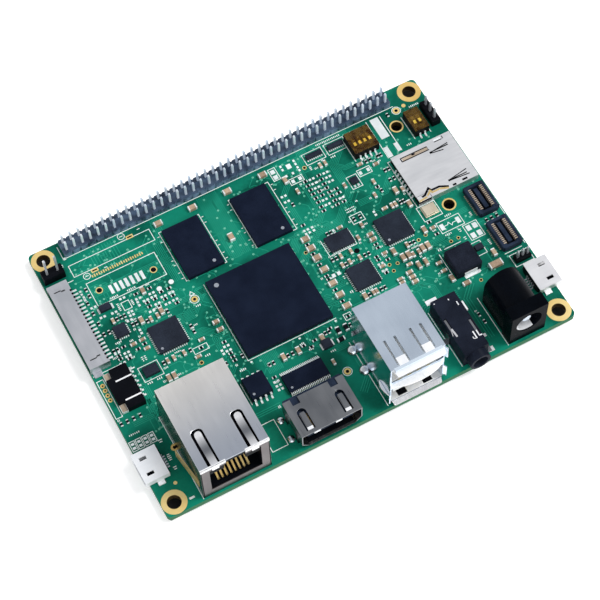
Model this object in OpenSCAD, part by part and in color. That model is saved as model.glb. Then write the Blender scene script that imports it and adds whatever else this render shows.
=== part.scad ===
// Single board computer: a 100 x 72 mm board with its edge connectors along the front.
// Frame: origin at the centre of the four mounting holes, on the underside of the board.
// +X runs along the connector edge, +Y to the pin header, +Z up from the board.
// Places on the board are measured from its front left corner.

/* [Board] */
// Board width, along the connector edge
board_w = 100; // [97:0.5:130]
// Board depth, from the connector edge to the header edge
board_d = 72; // [71:0.5:100]
// Board thickness
board_t = 1.6; // [1:0.1:2.4]
// Corner radius of the board
corner_r = 1; // [0.4:0.1:2.5]
// Mounting hole diameter
hole_d = 3.2; // [2.4:0.1:3.6]
// Mounting hole inset from the left and right edges
hole_inset_x = 2.75; // [2.7:0.05:3.2]
// Mounting hole inset from the front and back edges
hole_inset_y = 2.8; // [2.7:0.05:3.4]
// Diameter of the plated ring round a mounting hole
hole_ring_d = 5.4; // [4.2:0.1:5.4]
// Thickness of the plated rings
plating_t = 0.05; // [0.03:0.01:0.2]
// Plug-in card hole diameter
card_hole_d = 2.6; // [2:0.1:2.7]
// Distance between the two plug-in card holes
card_hole_spacing = 24.2; // [23:0.1:26]
// Distance from the right edge to the plug-in card holes
card_hole_right = 10.1; // [9.8:0.1:10.4]
// Distance from the memory card socket's middle forward to the nearer plug-in card hole
card_hole_ahead = 9.5; // [9.2:0.1:9.7]
// Diameter of the plated ring round a plug-in card hole
card_ring_d = 3.3; // [2.9:0.1:3.6]
// Length of every soldered tail under the board
tail_len = 1.1; // [0.9:0.1:2.5]
// Play round a tail in its hole
hole_play = 0.12; // [0.05:0.01:0.2]

/* [Common] */
// Thickness of the stamped connector shells
sheet = 0.25; // [0.15:0.05:0.35]
// Clearance between a shell and what it holds
fit = 0.1; // [0.03:0.01:0.15]
// Clearance of a sliding piece in its slot
slide_gap = 0.08; // [0.04:0.01:0.12]
// Thickness of the small contact strips
strip_t = 0.1; // [0.06:0.01:0.14]

/* [Expansion header] */
// Least length of board left free at each end of the expansion header
header_end = 7.6; // [7.2:0.1:7.9]
// Pitch of the expansion header pins
header_pitch = 2; // [1.8:0.05:2]
// Side of a square header pin
header_pin = 0.5; // [0.4:0.05:0.64]
// Height of the header body above the board
header_body_h = 1.5; // [1:0.1:2.5]
// Height of the header pin tips above the board
header_pin_h = 4.8; // [4:0.1:8]
// Distance from the back edge of the board to the header's middle line
header_back = 2.4; // [2.05:0.05:2.5]
// Distance from the board's middle to the header's middle, to the left
header_shift = 0.55; // [0:0.05:1.5]

/* [Chips] */
// Side of the processor
cpu_w = 21; // [17:0.5:22]
// Height of the processor
cpu_h = 1.4; // [0.8:0.1:2]
// Gap between the network chip and the processor, stretched with the board
cpu_gap_left = 9.4; // [8.8:0.1:10]
// Gap between the processor and the chip on its right, stretched with the board
cpu_gap_right = 7.9; // [7.4:0.1:8.4]
// Gap between the display driver's leads and the processor, stretched with the board
cpu_gap_front = 6.5; // [5.8:0.1:7]
// Gap between the memory chips and the expansion header, stretched with the board
mem_gap_back = 4.8; // [4.4:0.1:5.4]
// Width of a memory chip
mem_w = 9; // [8:0.1:10]
// Depth of a memory chip
mem_d = 14; // [10:0.1:14]
// Height of a memory chip
mem_h = 1.1; // [0.7:0.1:1.5]
// Distance between the middles of the memory chips
mem_spacing = 17.3; // [16:0.1:18]
// Gap between the processor and the memory chips
mem_gap = 2.8; // [2:0.1:3.4]
// Side of the larger flat chips
flat_chip_w = 7; // [5:0.1:7.4]
// Height of the flat chips
flat_chip_h = 0.9; // [0.6:0.1:1.4]
// Width of the storage chip's body, along its lead rows
flash_w = 5; // [4.6:0.1:5.4]
// Depth of the storage chip's body
flash_d = 5.3; // [4:0.1:5.4]
// Height of the storage chip
flash_h = 1.9; // [1.4:0.1:2.1]
// Pitch of the storage chip's leads
flash_pitch = 1.27; // [1:0.01:1.27]
// Width of the display driver's body, along its lead rows
driver_w = 9.7; // [9.4:0.1:10.4]
// Depth of the display driver's body
driver_d = 4.4; // [3.6:0.1:4.6]
// Height of the display driver
driver_h = 1; // [0.8:0.1:1.4]
// Pitch of the display driver's leads
driver_pitch = 0.4; // [0.35:0.01:0.4]
// Thickness of the chip leads
lead_t = 0.15; // [0.1:0.01:0.2]
// How far the chip leads stand out from their bodies
lead_out = 1.1; // [0.8:0.05:1.2]
// Side of the power inductor
coil_w = 6.4; // [5:0.1:6.6]
// Height of the power inductor
coil_h = 3; // [2:0.1:4]

/* [Ethernet jack] */
// Width of the ethernet jack
eth_w = 16; // [15.6:0.1:17]
// Depth of the ethernet jack
eth_d = 21.2; // [20:0.1:22]
// Height of the ethernet jack
eth_h = 13.5; // [12.6:0.1:15]
// Gap between the left mounting ring and the ethernet jack, stretched with the board
eth_gap = 3.25; // [2.6:0.05:3.6]
// Distance from the board's front edge to the ethernet jack
eth_front = 0.5; // [0:0.1:1]
// Width of the plug cavity
eth_plug_w = 11.9; // [11.7:0.1:12.5]
// Height of the plug cavity
eth_plug_h = 6.9; // [6.6:0.1:7.4]
// Depth of the plug cavity
eth_plug_d = 12.6; // [12:0.1:13.4]
// Width of the latch slot above the plug cavity
eth_latch_w = 5; // [4:0.1:6.4]
// Height of the cavity floor above the board
eth_floor = 2.4; // [2:0.1:2.8]
// Depth of the jack's plastic housing
eth_housing_d = 14.4; // [14:0.1:15]
// Pitch of the eight ethernet contacts
eth_pitch = 1.02; // [0.95:0.01:1.1]

/* [HDMI socket] */
// Width of the HDMI socket
hdmi_w = 14.5; // [14:0.1:15]
// Depth of the HDMI shell
hdmi_d = 9; // [8.6:0.1:9.4]
// Height of the HDMI socket
hdmi_h = 6; // [5.6:0.1:6.6]
// Gap between the ethernet jack and the HDMI socket, stretched with the board
hdmi_gap = 7.35; // [6.8:0.05:8]
// Distance from the board's front edge to the HDMI socket
hdmi_front = 0.4; // [0:0.1:0.8]
// Gap under the HDMI shell
hdmi_foot = 0.3; // [0.1:0.05:0.5]
// Slant of the HDMI shell's lower corners
hdmi_slant = 1.7; // [1:0.1:2]

/* [USB sockets] */
// Width of the double USB socket
usb_w = 13.1; // [12.9:0.1:14]
// Depth of the double USB socket
usb_d = 17; // [15:0.1:18.5]
// Height of the double USB socket
usb_h = 15.6; // [14.8:0.1:17]
// Gap between the HDMI socket and the double USB socket, stretched with the board
usb_gap = 6.95; // [6.6:0.05:7.6]
// Distance from the board's front edge to the USB socket
usb_front = 0.8; // [0.5:0.1:1.2]
// Height of one USB port's opening
usb_port_h = 5.6; // [5.2:0.1:5.9]
// Gap under the USB shell
usb_foot = 0.8; // [0.3:0.1:1]
// How far the flared lips of the USB shell reach forward
usb_lip = 0.9; // [0.4:0.1:1.2]
// Thickness of a USB tongue
usb_tongue_t = 1.8; // [1.5:0.1:2]

/* [Audio jack] */
// Width of the audio jack
audio_w = 6; // [5.4:0.1:6.6]
// Depth of the audio jack's body
audio_d = 14.8; // [12.5:0.1:15.4]
// Height of the audio jack
audio_h = 5; // [4.8:0.1:6]
// Gap between the double USB socket and the audio jack, stretched with the board
audio_gap = 5.4; // [4.8:0.1:6]
// Distance from the board's front edge to the audio jack's body
audio_front = 1; // [0.6:0.1:1.6]
// Diameter of the audio plug's bore
audio_bore_d = 3.6; // [3.5:0.05:3.7]
// Depth of the audio plug's bore
audio_bore_len = 13.4; // [11:0.1:13.6]
// Diameter of the audio jack's nose
audio_nose_d = 5; // [4.6:0.1:5]
// How far the nose stands out from the body
audio_nose = 2; // [1:0.1:3]

/* [Power jack] */
// Width of the power jack
dc_w = 9; // [8.6:0.1:10]
// Height of the power jack's front block
dc_h = 11; // [10.6:0.1:12]
// Depth of the power jack's front block
dc_block_d = 3.2; // [2.4:0.1:4]
// Depth of the power jack
dc_d = 13.4; // [12.5:0.1:14]
// Diameter of the power jack's barrel
dc_barrel_d = 8.4; // [7.6:0.1:8.5]
// Height of the barrel's axis above the board
dc_axis = 6.5; // [6:0.1:6.9]
// Diameter of the power plug's bore
dc_bore_d = 6.2; // [5.7:0.1:6.4]
// Depth of the power plug's bore
dc_bore_len = 9.4; // [8:0.1:10]
// Diameter of the power jack's centre pin
dc_pin_d = 2; // [1.6:0.1:2.5]
// Gap between the audio jack and the power jack, stretched with the board
dc_gap = 5.3; // [4.8:0.1:6]
// Gap between the power jack and the right mounting ring, stretched with the board
dc_gap_right = 2.25; // [1.8:0.05:2.6]
// Distance from the board's front edge to the power jack
dc_front = 0.7; // [0.2:0.1:1]

/* [Micro USB sockets] */
// Width of a micro USB socket
micro_w = 7.5; // [7.2:0.1:8]
// Depth of a micro USB socket
micro_d = 5.6; // [5:0.1:6]
// Height of a micro USB socket
micro_h = 2.6; // [2.5:0.05:3]
// How far a micro USB socket stands over the board's edge
micro_over = 1; // [0.4:0.1:1.4]
// Front to back place of the left micro USB socket's middle
micro_left_y = 11.9; // [11.6:0.1:12.2]
// Front to back place of the right micro USB socket's middle
micro_right_y = 11.5; // [11.2:0.1:11.8]
// Slant of a micro USB shell's lower corners
micro_slant = 0.9; // [0.6:0.05:1.1]

/* [Memory card socket] */
// Depth of the memory card socket, in from the board's edge
card_d = 15.5; // [14.6:0.1:15.8]
// Width of the memory card socket
card_w = 13.6; // [13:0.1:14.2]
// Height of the memory card socket
card_h = 1.8; // [1.7:0.05:2.2]
// Distance from the board's right edge to the memory card socket
card_right = 0.8; // [0.3:0.1:1.2]
// Gap between the camera connectors and the memory card socket, stretched with the board
card_gap = 1.4; // [1.2:0.1:1.8]
// Gap between the memory card socket and the two way switch's leads, stretched with the board
card_gap_back = 2.15; // [1.8:0.05:2.4]
// Thickness of the memory card socket's plastic floor
card_floor = 0.5; // [0.4:0.05:0.55]
// Travel of the memory card's eject slider
card_travel = 1.2; // [0.6:0.1:1.6]

/* [Display connector] */
// Length of the display connector, along the board's edge
disp_w = 23; // [22.6:0.1:23.4]
// Depth of the display connector, in from the board's edge
disp_d = 4.8; // [4.4:0.1:5]
// Height of the display connector
disp_h = 2.8; // [2.4:0.1:3.4]
// Distance from the back edge to the display connector's middle
disp_back = 22.6; // [22.4:0.1:22.8]
// Distance from the board's left edge to the display connector
disp_left = 0.1; // [0:0.1:0.3]
// Pitch of the display connector's contacts
disp_pitch = 1; // [0.9:0.01:1.02]
// Number of display connector contacts
disp_ways = 20; // [10:1:20]

/* [Slide switches] */
// Front to back size of a switch block
dip_d = 6.1; // [5.6:0.1:6.2]
// Height of a switch block
dip_h = 2.4; // [2:0.1:3]
// Pitch of the switch sliders
dip_pitch = 1.27; // [1.2:0.01:1.3]
// Travel of a switch slider
dip_travel = 1; // [0.6:0.1:1.4]
// Width of a switch slider
dip_knob_w = 0.6; // [0.5:0.05:0.7]
// Length of a switch slider
dip_knob_l = 0.9; // [0.7:0.05:1.1]
// Depth of a slider's slot
dip_slot = 1; // [0.8:0.05:1.2]
// Thickness of the sealing film over a switch block
film_t = 0.06; // [0.04:0.01:0.1]
// Distance from the right edge to the four way switch block's middle
dip4_right = 19.7; // [19.4:0.1:19.9]
// Distance from the right edge to the two way switch block's middle
dip2_right = 5.9; // [5.7:0.1:6.1]
// Distance from the back edge to the four way switch block's middle
dip4_back = 10.3; // [10.2:0.1:10.6]
// Distance from the back edge to the two way switch block's middle
dip2_back = 11.6; // [11.4:0.1:11.8]

/* [Small connectors] */
// Width of a camera connector
cam_w = 4.6; // [4.2:0.1:4.6]
// Length of a camera connector
cam_l = 8; // [7.6:0.1:8.4]
// Height of a camera connector
cam_h = 1.7; // [1.4:0.1:2.2]
// Pitch of the camera connector contacts
cam_pitch = 0.5; // [0.45:0.01:0.52]
// Distance from the board's right edge to the camera connectors' middle
cam_right = 3.4; // [3.3:0.1:3.6]
// Gap between the fine header and the camera connectors, stretched with the board
cam_gap_front = 2.1; // [1.8:0.1:2.4]
// Gap between the two camera connectors, stretched with the board
cam_gap = 2.2; // [1.8:0.1:2.4]
// Height of the small header bodies
small_body_h = 2; // [1.5:0.1:2.5]
// Height of the tips of the small header pins
small_pin_h = 5.4; // [4:0.1:7]
// Side of a small header pin
small_pin = 0.5; // [0.4:0.05:0.55]
// Pitch of the three pin header
small_pitch = 2; // [1.9:0.05:2.05]
// Pitch of the two pin header
two_pitch = 2.54; // [2:0.01:2.6]
// Height of the tips of the two pin header
two_pin_h = 8.4; // [6:0.1:9]
// Height of the two pin header's body
two_body_h = 2.5; // [1.5:0.1:3]
// Gap between the right micro USB socket and the fine header, stretched with the board
fine_gap = 1.2; // [0.9:0.05:1.5]
// Pitch of the fine header
fine_pitch = 1.27; // [1.2:0.01:1.3]
// Gap between the wire connector and the display connector
wire_gap = 1.4; // [1.2:0.1:2]
// Width of the wire connector, along the board's edge
wire_w = 10.4; // [9.6:0.1:10.6]
// Depth of the wire connector
wire_d = 5.6; // [5:0.1:5.8]
// Height of the wire connector
wire_h = 1.8; // [1.5:0.1:2.4]
// Pitch of the wire connector's contacts
wire_pitch = 1.25; // [1.1:0.01:1.3]

/* [Hidden] */
$fn = 48;
tail_z = -board_t - tail_len;
cut = 1;
leg_root = 1;
strip_play = 0.05;
slit_play = 0.2;
finger_dip = 4;
finger_room = 0.8;
cpu_dot = 1.9;
mem_dot_x = 1.9;
mem_dot_y = 1.4;
lead_dot = 0.9;
lead_foot = 0.6;
chip_stand = 0.1;
flash_leads = 4;
flash_lead_w = 0.42;
driver_leads = 24;
driver_lead_w = 0.2;
header_columns = floor((board_w - 2 * header_end) / header_pitch);
header_x = board_w / 2 - header_shift;
header_y = board_d - header_back;
header_w = header_columns * header_pitch;
ring_in = hole_inset_x + hole_ring_d / 2;
front_room = board_w - 2 * ring_in - eth_w - hdmi_w - usb_w - audio_w - dc_w;
front_stretch = front_room / (eth_gap + hdmi_gap + usb_gap + audio_gap + dc_gap + dc_gap_right);
eth_x = ring_in + front_stretch * eth_gap + eth_w / 2;
hdmi_x = eth_x + eth_w / 2 + front_stretch * hdmi_gap + hdmi_w / 2;
usb_x = hdmi_x + hdmi_w / 2 + front_stretch * usb_gap + usb_w / 2;
audio_x = usb_x + usb_w / 2 + front_stretch * audio_gap + audio_w / 2;
dc_x = audio_x + audio_w / 2 + front_stretch * dc_gap + dc_w / 2;
driver_at = [hdmi_x + 1.4, 15.2];
network_at = [19, 38.6];
sound_at = [board_w - 24.2, 38.5];
video_w = 6;
video_at = [board_w - 36.2, 31];
cpu_room_x = video_at[0] - video_w / 2 - network_at[0] - flat_chip_w / 2 - cpu_w;
cpu_stretch_x = cpu_room_x / (cpu_gap_left + cpu_gap_right);
cpu_x = network_at[0] + flat_chip_w / 2 + cpu_stretch_x * cpu_gap_left + cpu_w / 2;
driver_end = driver_at[1] + driver_d / 2 + lead_out;
cpu_room_y = header_y - header_pitch - driver_end - cpu_w - mem_gap - mem_d;
cpu_stretch_y = cpu_room_y / (cpu_gap_front + mem_gap_back);
cpu_y = driver_end + cpu_stretch_y * cpu_gap_front + cpu_w / 2;
storage_end = cpu_y - cpu_w / 2 - cpu_stretch_y * 3.45;
storage_at = [(eth_x + eth_w / 2 + driver_at[0] - driver_w / 2) / 2, storage_end - lead_out - flash_d / 2];
mem_y = cpu_y + cpu_w / 2 + mem_gap + mem_d / 2;
eth_inner_w = eth_w - 2 * (sheet + fit);
eth_inner_h = eth_h - sheet - fit;
eth_housing_y = sheet + fit;
eth_block_y = eth_housing_y + eth_housing_d + fit;
eth_tail_y = [8.9, 11.2];
eth_tail_t = 0.3;
eth_contact_w = 0.45;
eth_comb_w = eth_contact_w + 2 * slide_gap;
eth_leg_y = 7.4;
eth_leg_l = 1.4;
eth_peg_x = 5.7;
eth_peg_y = 8.2;
eth_peg_d = 3;
eth_peg_z = -board_t - tail_len / 2;
eth_latch_h = 2.2;
eth_latch_d = 8.6;
eth_comb_y = 1.2;
eth_contact_rise = 2.6;
eth_finger_x = 4.6;
finger_w = 1.7;
finger_l = 7;
window_w = 2.7;
window_l = 7.9;
window_front = 1.2;
eth_block_pins = 6;
eth_block_pitch = 2.04;
eth_block_pin_y = eth_d - 3;
hdmi_ways = 10;
hdmi_pitch = 1;
hdmi_tongue_w = 11;
hdmi_tongue_t = 1;
hdmi_tongue_z = 2.9;
hdmi_block_y = 5.4;
hdmi_block_over = 0.6;
hdmi_leg_y = [2.4, 7.4];
hdmi_leg_l = 1.2;
hdmi_finger_x = 4.55;
hdmi_finger_w = 1.3;
hdmi_finger_l = 4.6;
hdmi_window_l = 5.4;
hdmi_window_w = 2.1;
hdmi_window_y = 0.8;
hdmi_notch = 1.6;
hdmi_notch_w = 1.8;
hdmi_tongue_y = 0.9;
hdmi_slit_w = hdmi_ways * hdmi_pitch + slit_play;
hdmi_slit_h = strip_t + strip_play;
hdmi_back = hdmi_d + hdmi_block_over;
usb_floor = usb_foot + sheet;
usb_shelf_z = usb_floor + usb_port_h;
usb_shelf_t = usb_h - sheet - usb_port_h - usb_shelf_z;
usb_tongue_w = 11;
usb_block_y = 10.6;
usb_leg_y = [4.6, 10];
usb_leg_l = 1.6;
usb_pitch = 2.3;
usb_tail_y = [12.6, 14.8];
usb_tail_w = 0.5;
usb_tail_t = 0.3;
usb_tongue_gap = 0.9;
usb_tongue_y = 0.6;
usb_tongue_z = [usb_shelf_z - usb_tongue_gap - usb_tongue_t, usb_h - sheet - usb_tongue_gap - usb_tongue_t];
usb_contact_w = 0.9;
usb_contact_t = 0.2;
usb_contact_y = 1;
usb_back = usb_d - sheet - fit;
usb_finger_x = 3.1;
usb_finger_w = 1.9;
usb_finger_gap = 0.5;
usb_window_w = 3;
usb_window_l = 6.4;
usb_window_y = 0.6;
usb_slot_w = 2;
usb_slot_l = 3;
usb_slot_y = 0.5;
usb_flare = 30;
audio_axis = audio_h / 2;
audio_window_in = 0.6;
audio_window_y = 4.5;
audio_window_step = 1.2;
audio_window_l = 4;
audio_window_w = 0.7;
audio_window_h = 1;
dc_rear = 1.4;
dc_end = dc_d - dc_rear;
dc_blade_t = 0.5;
dc_blade_w = 2.6;
dc_blade_y = [dc_d - dc_blade_t, 7.6];
micro_foot = 0.1;
micro_tab = 0.9;
micro_block_y = 3.4;
micro_ways = 5;
micro_pitch = 0.65;
micro_tongue_y = 0.8;
micro_tongue_z = 1.4;
micro_tongue_t = 0.5;
micro_tongue_w = 4;
micro_back = micro_d + 0.2;
disp_y = board_d - disp_back;
disp_wall = 1.4;
disp_mouth_h = 1.2;
disp_mouth_z = 0.9;
disp_contact_w = 0.35;
dip4_x = board_w - dip4_right;
dip2_x = board_w - dip2_right;
dip4_y = board_d - dip4_back;
dip2_y = board_d - dip2_back;
dip_margin = 1.2;
dip_lead_out = 1;
dip_slot_w = dip_knob_w + 2 * slide_gap;
dip_slot_l = dip_knob_l + dip_travel + 2 * slide_gap;
cam_x = board_w - cam_right;
cam_ways = 12;
cam_wall = 1.1;
cam_end = 0.7;
cam_floor = 0.4;
cam_contact_w = 0.25;
card_x = board_w - card_right - card_d;
card_rear = 3.2;
card_rail = 1;
card_stop = 0.8;
card_slider_w = 1.2;
card_slider_l = 4;
card_ways = 8;
card_pitch = 1.1;
card_contact_w = 0.45;
card_contact_l = 6;
card_half = card_w / 2;
micro_end = micro_right_y + micro_w / 2 + micro_tab - sheet;
fine_body_w = 1.8;
right_room = dip2_y - dip_d / 2 - dip_lead_out - micro_end - fine_body_w - 2 * cam_l - card_w;
right_stretch = right_room / (fine_gap + cam_gap_front + cam_gap + card_gap + card_gap_back);
fine_y = micro_end + right_stretch * fine_gap + fine_body_w / 2;
cam_front = fine_y + fine_body_w / 2 + right_stretch * cam_gap_front + cam_l / 2;
cam_y = [cam_front, cam_front + cam_l + right_stretch * cam_gap];
card_y = cam_y[1] + cam_l / 2 + right_stretch * card_gap + card_half;
card_hole_y = card_y - card_hole_ahead;
crystal_base = [3.5, 3, 0.4];
crystal_at = [board_w - 14.8, card_y - card_half - 0.5 - crystal_base[1] / 2];
card_top = card_h - sheet;
card_inner = card_half - sheet - fit;
card_groove_y = card_inner - card_rail - slide_gap - card_slider_w;
card_slider_x = fit + card_stop + slide_gap + card_travel;
card_slider_h = 0.8;
card_rail_h = 0.5;
coil_x = board_w - 15.2;
coil_y = 23.2;
two_ways = 2;
three_ways = 3;
small_two = [3.1, disp_y + disp_w / 2 + 3.4];
small_three = [board_w - 1.8, board_d - 10.9];
small_fine = [board_w - 2.9, fine_y];
header_wall = 0.3;
three_body_w = 2.2;
fine_body_h = 1.4;
fine_pin_h = 4;
wire_at = [2.1, disp_y - disp_w / 2 - wire_gap - wire_w / 2];
wire_ways = 6;
wire_wall = 0.45;
wire_back = 1.2;
wire_tab_w = 2.1;
wire_tab_d = 1.5;
wire_tab_h = 0.8;
wire_tab_x = (wire_w - wire_tab_w) / 2;
wire_contact = 0.4;

// Moves children to a place on the board's top, measured from its front left corner
module on_board(x, y, z = 0) {
  translate([x - board_w / 2, y - board_d / 2, board_t + z]) children();
}

// A box centred left to right, with its front at y = 0
module box(w, d, h) {
  translate([-w / 2, 0, 0]) cube([w, d, h]);
}

// A box centred both ways
module block(w, d, h) {
  translate([-w / 2, -d / 2, 0]) cube([w, d, h]);
}

// A side profile in y and z, given thickness w along x and centred there
module slice(w) {
  translate([-w / 2, 0, 0]) rotate([90, 0, 90]) linear_extrude(w) children();
}

// A front profile in x and z, running back by d
module run_back(d) {
  translate([0, d, 0]) rotate([90, 0, 0]) linear_extrude(d) children();
}

// Places children at n even steps along x
module row(n, pitch) {
  for (i = [0 : n - 1]) translate([(i - (n - 1) / 2) * pitch, 0, 0]) children();
}

// Outline of a shell with slanted lower corners, drawn in by inset
module slanted(w, h, foot, slant, inset) {
  half = w / 2 - inset;
  low = foot + inset;
  top = h - inset;
  leg = slant - inset * (2 - sqrt(2));
  polygon([[-half, top], [-half, low + leg], [-half + leg, low], [half - leg, low],
    [half, low + leg], [half, top]]);
}

// A straight tail through the board, w by d in plan, starting at height top
module tail(w, d, top) {
  translate([-w / 2, -d / 2, tail_z]) cube([w, d, top - tail_z]);
}

// A slot in the board's outline that takes a tail of w by d
module tail_slot(w, d) {
  square([w + 2 * hole_play, d + 2 * hole_play], center = true);
}

// A round hole in the board's outline that takes a square pin
module pin_hole(side) {
  circle(d = side * sqrt(2) + 2 * hole_play);
}

// Moves flat children to a place on the board, measured from its front left corner
module on_plan(x, y) {
  translate([x - board_w / 2, y - board_d / 2]) children();
}

// Board and holes

module corners(inset_x, inset_y) {
  for (x = [inset_x, board_w - inset_x], y = [inset_y, board_d - inset_y]) on_plan(x, y) children();
}

module card_holes() {
  for (y = [card_hole_y, card_hole_y + card_hole_spacing]) {
    on_plan(board_w - card_hole_right, y) children();
  }
}

module board_outline() {
  square([board_w - 2 * corner_r, board_d], center = true);
  square([board_w, board_d - 2 * corner_r], center = true);
  corners(corner_r, corner_r) circle(corner_r);
}

module circuit_board() {
  color("seagreen") linear_extrude(board_t) difference() {
    board_outline();
    corners(hole_inset_x, hole_inset_y) circle(d = hole_d);
    card_holes() circle(d = card_hole_d);
    on_plan(header_x, header_y) header_grid() pin_hole(header_pin);
    on_plan(eth_x, eth_front) ethernet_slots();
    on_plan(hdmi_x, hdmi_front) hdmi_slots();
    on_plan(usb_x, usb_front) usb_slots();
    on_plan(dc_x, dc_front) power_slots();
    small_header_holes();
  }
}

module ring(outer_d, inner_d) {
  for (z = [-plating_t, board_t]) translate([0, 0, z]) linear_extrude(plating_t) difference() {
    circle(d = outer_d);
    circle(d = inner_d);
  }
}

module plated_rings() {
  color("khaki") {
    corners(hole_inset_x, hole_inset_y) ring(hole_ring_d, hole_d);
    card_holes() ring(card_ring_d, card_hole_d);
  }
}

// Expansion header

module header_grid() {
  for (i = [0 : header_columns - 1], side = [-1, 1]) {
    translate([(i - (header_columns - 1) / 2) * header_pitch, side * header_pitch / 2]) children();
  }
}

// Outline of the header body, notched between its columns
function header_edge(notch) = [for (i = [0 : header_columns - 1], k = [0 : 3])
  [-header_w / 2 + i * header_pitch + [0, notch, header_pitch - notch, header_pitch][k],
    -header_pitch + (k % 3 == 0 ? notch : 0)]];

module expansion_header_body() {
  notch = 0.4;
  front = header_edge(notch);
  back = [for (p = front) [-p[0], -p[1]]];
  on_board(header_x, header_y) color("darkslategray") linear_extrude(header_body_h) difference() {
    polygon(concat(front, back));
    header_grid() square(header_pin + 2 * strip_clear(), center = true);
  }
}

// Play round a pin that is pushed through plastic
function strip_clear() = slide_gap / 4;

module expansion_header_pins() {
  on_board(header_x, header_y) color("silver") header_grid() tail(header_pin, header_pin, header_pin_h);
}

// Chips

// A moulded chip with a small pin one dimple in its top
module chip(w, d, h, dot_x, dot_y) {
  dot_d = 0.8;
  dot_depth = 0.06;
  difference() {
    block(w, d, h);
    translate([dot_x, dot_y, h - dot_depth]) cylinder(d = dot_d, h = cut);
  }
}

module processor() {
  dot = cpu_w / 2 - cpu_dot;
  on_board(cpu_x, cpu_y) color("#1c2230") chip(cpu_w, cpu_w, cpu_h, -dot, dot);
}

module memory_chip(side) {
  on_board(cpu_x + side * mem_spacing / 2, mem_y) color("#20242e")
    chip(mem_w, mem_d, mem_h, mem_w / 2 - mem_dot_x, mem_dot_y - mem_d / 2);
}

module memory_chip_left() {
  memory_chip(-1);
}

module memory_chip_right() {
  memory_chip(1);
}

module flat_chip() {
  dot = flat_chip_w / 2 - lead_dot;
  chip(flat_chip_w, flat_chip_w, flat_chip_h, -dot, -dot);
}

module network_chip() {
  on_board(network_at[0], network_at[1]) color("#2a2c34") flat_chip();
}

module sound_chip() {
  on_board(sound_at[0], sound_at[1]) color("#2a2c34") flat_chip();
}

module storage_chip() {
  on_board(storage_at[0], storage_at[1], chip_stand) color("#22242c")
    chip(flash_w, flash_d, flash_h, lead_dot - flash_w / 2, lead_dot - flash_d / 2);
}

module display_driver() {
  on_board(driver_at[0], driver_at[1], chip_stand) color("#22242c")
    chip(driver_w, driver_d, driver_h, lead_dot - driver_w / 2, lead_dot - driver_d / 2);
}

// One bent lead, from the chip's side face down to its pad
module gull_lead(w, h) {
  rise = chip_stand + h / 2;
  knee = lead_out - lead_foot;
  slice(w) {
    translate([0, rise]) square([knee, lead_t]);
    translate([knee - lead_t, 0]) square([lead_t, rise + lead_t]);
    translate([knee - lead_t, 0]) square([lead_out - knee + lead_t, lead_t]);
  }
}

// Leads along both long sides of a chip
module lead_rows(n, pitch, w, d, h) {
  for (turn = [0, 180]) rotate(turn) translate([0, d / 2, 0]) row(n, pitch) gull_lead(w, h);
}

module chip_leads() {
  color("silver") {
    on_board(storage_at[0], storage_at[1])
      lead_rows(flash_leads, flash_pitch, flash_lead_w, flash_d, flash_h);
    on_board(driver_at[0], driver_at[1])
      lead_rows(driver_leads, driver_pitch, driver_lead_w, driver_d, driver_h);
  }
}

// Places and sizes of the smaller chips: from the left or right edge, from the front, width, depth
block_y = board_d - 7.6;
small_left = [[10.4, 44.6, 3, 3], [12, 32.7, 3.4, 2.4], [9.8, 51.5, 2.6, 1.6],
  [cpu_x + 6.1, cpu_y - cpu_w / 2 - 5.1 * cpu_stretch_y, 2.2, 2.2]];
small_right = [[36.6, 41.4, 6, 4], [26, 53.7, 1.8, 1.6], [10.1, 24.8, 2, 1.4],
  [30.8, block_y, 4, 1.1], [25.2, block_y, 4, 1.1]];

module small_chips() {
  color("#24262e") {
    for (c = small_left) on_board(c[0], c[1]) block(c[2], c[3], flat_chip_h);
    for (c = small_right) on_board(board_w - c[0], c[1]) block(c[2], c[3], flat_chip_h);
    on_board(video_at[0], video_at[1]) block(video_w, video_w, flat_chip_h);
  }
}

// The inductor: a square pressed block with its corners cut off and a terminal at each end
module power_inductor() {
  corner = 0.9;
  half = coil_w / 2;
  flat = half - corner;
  end_t = 0.6;
  end_h = 1;
  end_w = 2 * flat - end_t;
  on_board(coil_x, coil_y) color("#2c2c30") {
    linear_extrude(coil_h) polygon([[-half, -flat], [-flat, -half], [flat, -half], [half, -flat],
      [half, flat], [flat, half], [-flat, half], [-half, flat]]);
    for (turn = [0, 180]) rotate(turn) translate([0, half - lead_t, 0]) box(end_w, end_t, end_h);
  }
}

// The crystal: a ceramic base with a narrower lid
module crystal() {
  base = crystal_base;
  lid = [3.1, 2.6, 0.5];
  on_board(crystal_at[0], crystal_at[1]) color("tan") {
    block(base[0], base[1], base[2]);
    translate([0, 0, base[2]]) block(lid[0], lid[1], lid[2]);
  }
}

// One ceramic chip capacitor, lying along x
module capacitor(l, w, h) {
  cap = 0.3;
  rim = 0.03;
  block(l - 2 * cap, w - 2 * rim, h - rim);
  for (s = [-1, 1]) translate([s * (l - cap) / 2, 0, 0]) block(cap, w, h);
}

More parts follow.
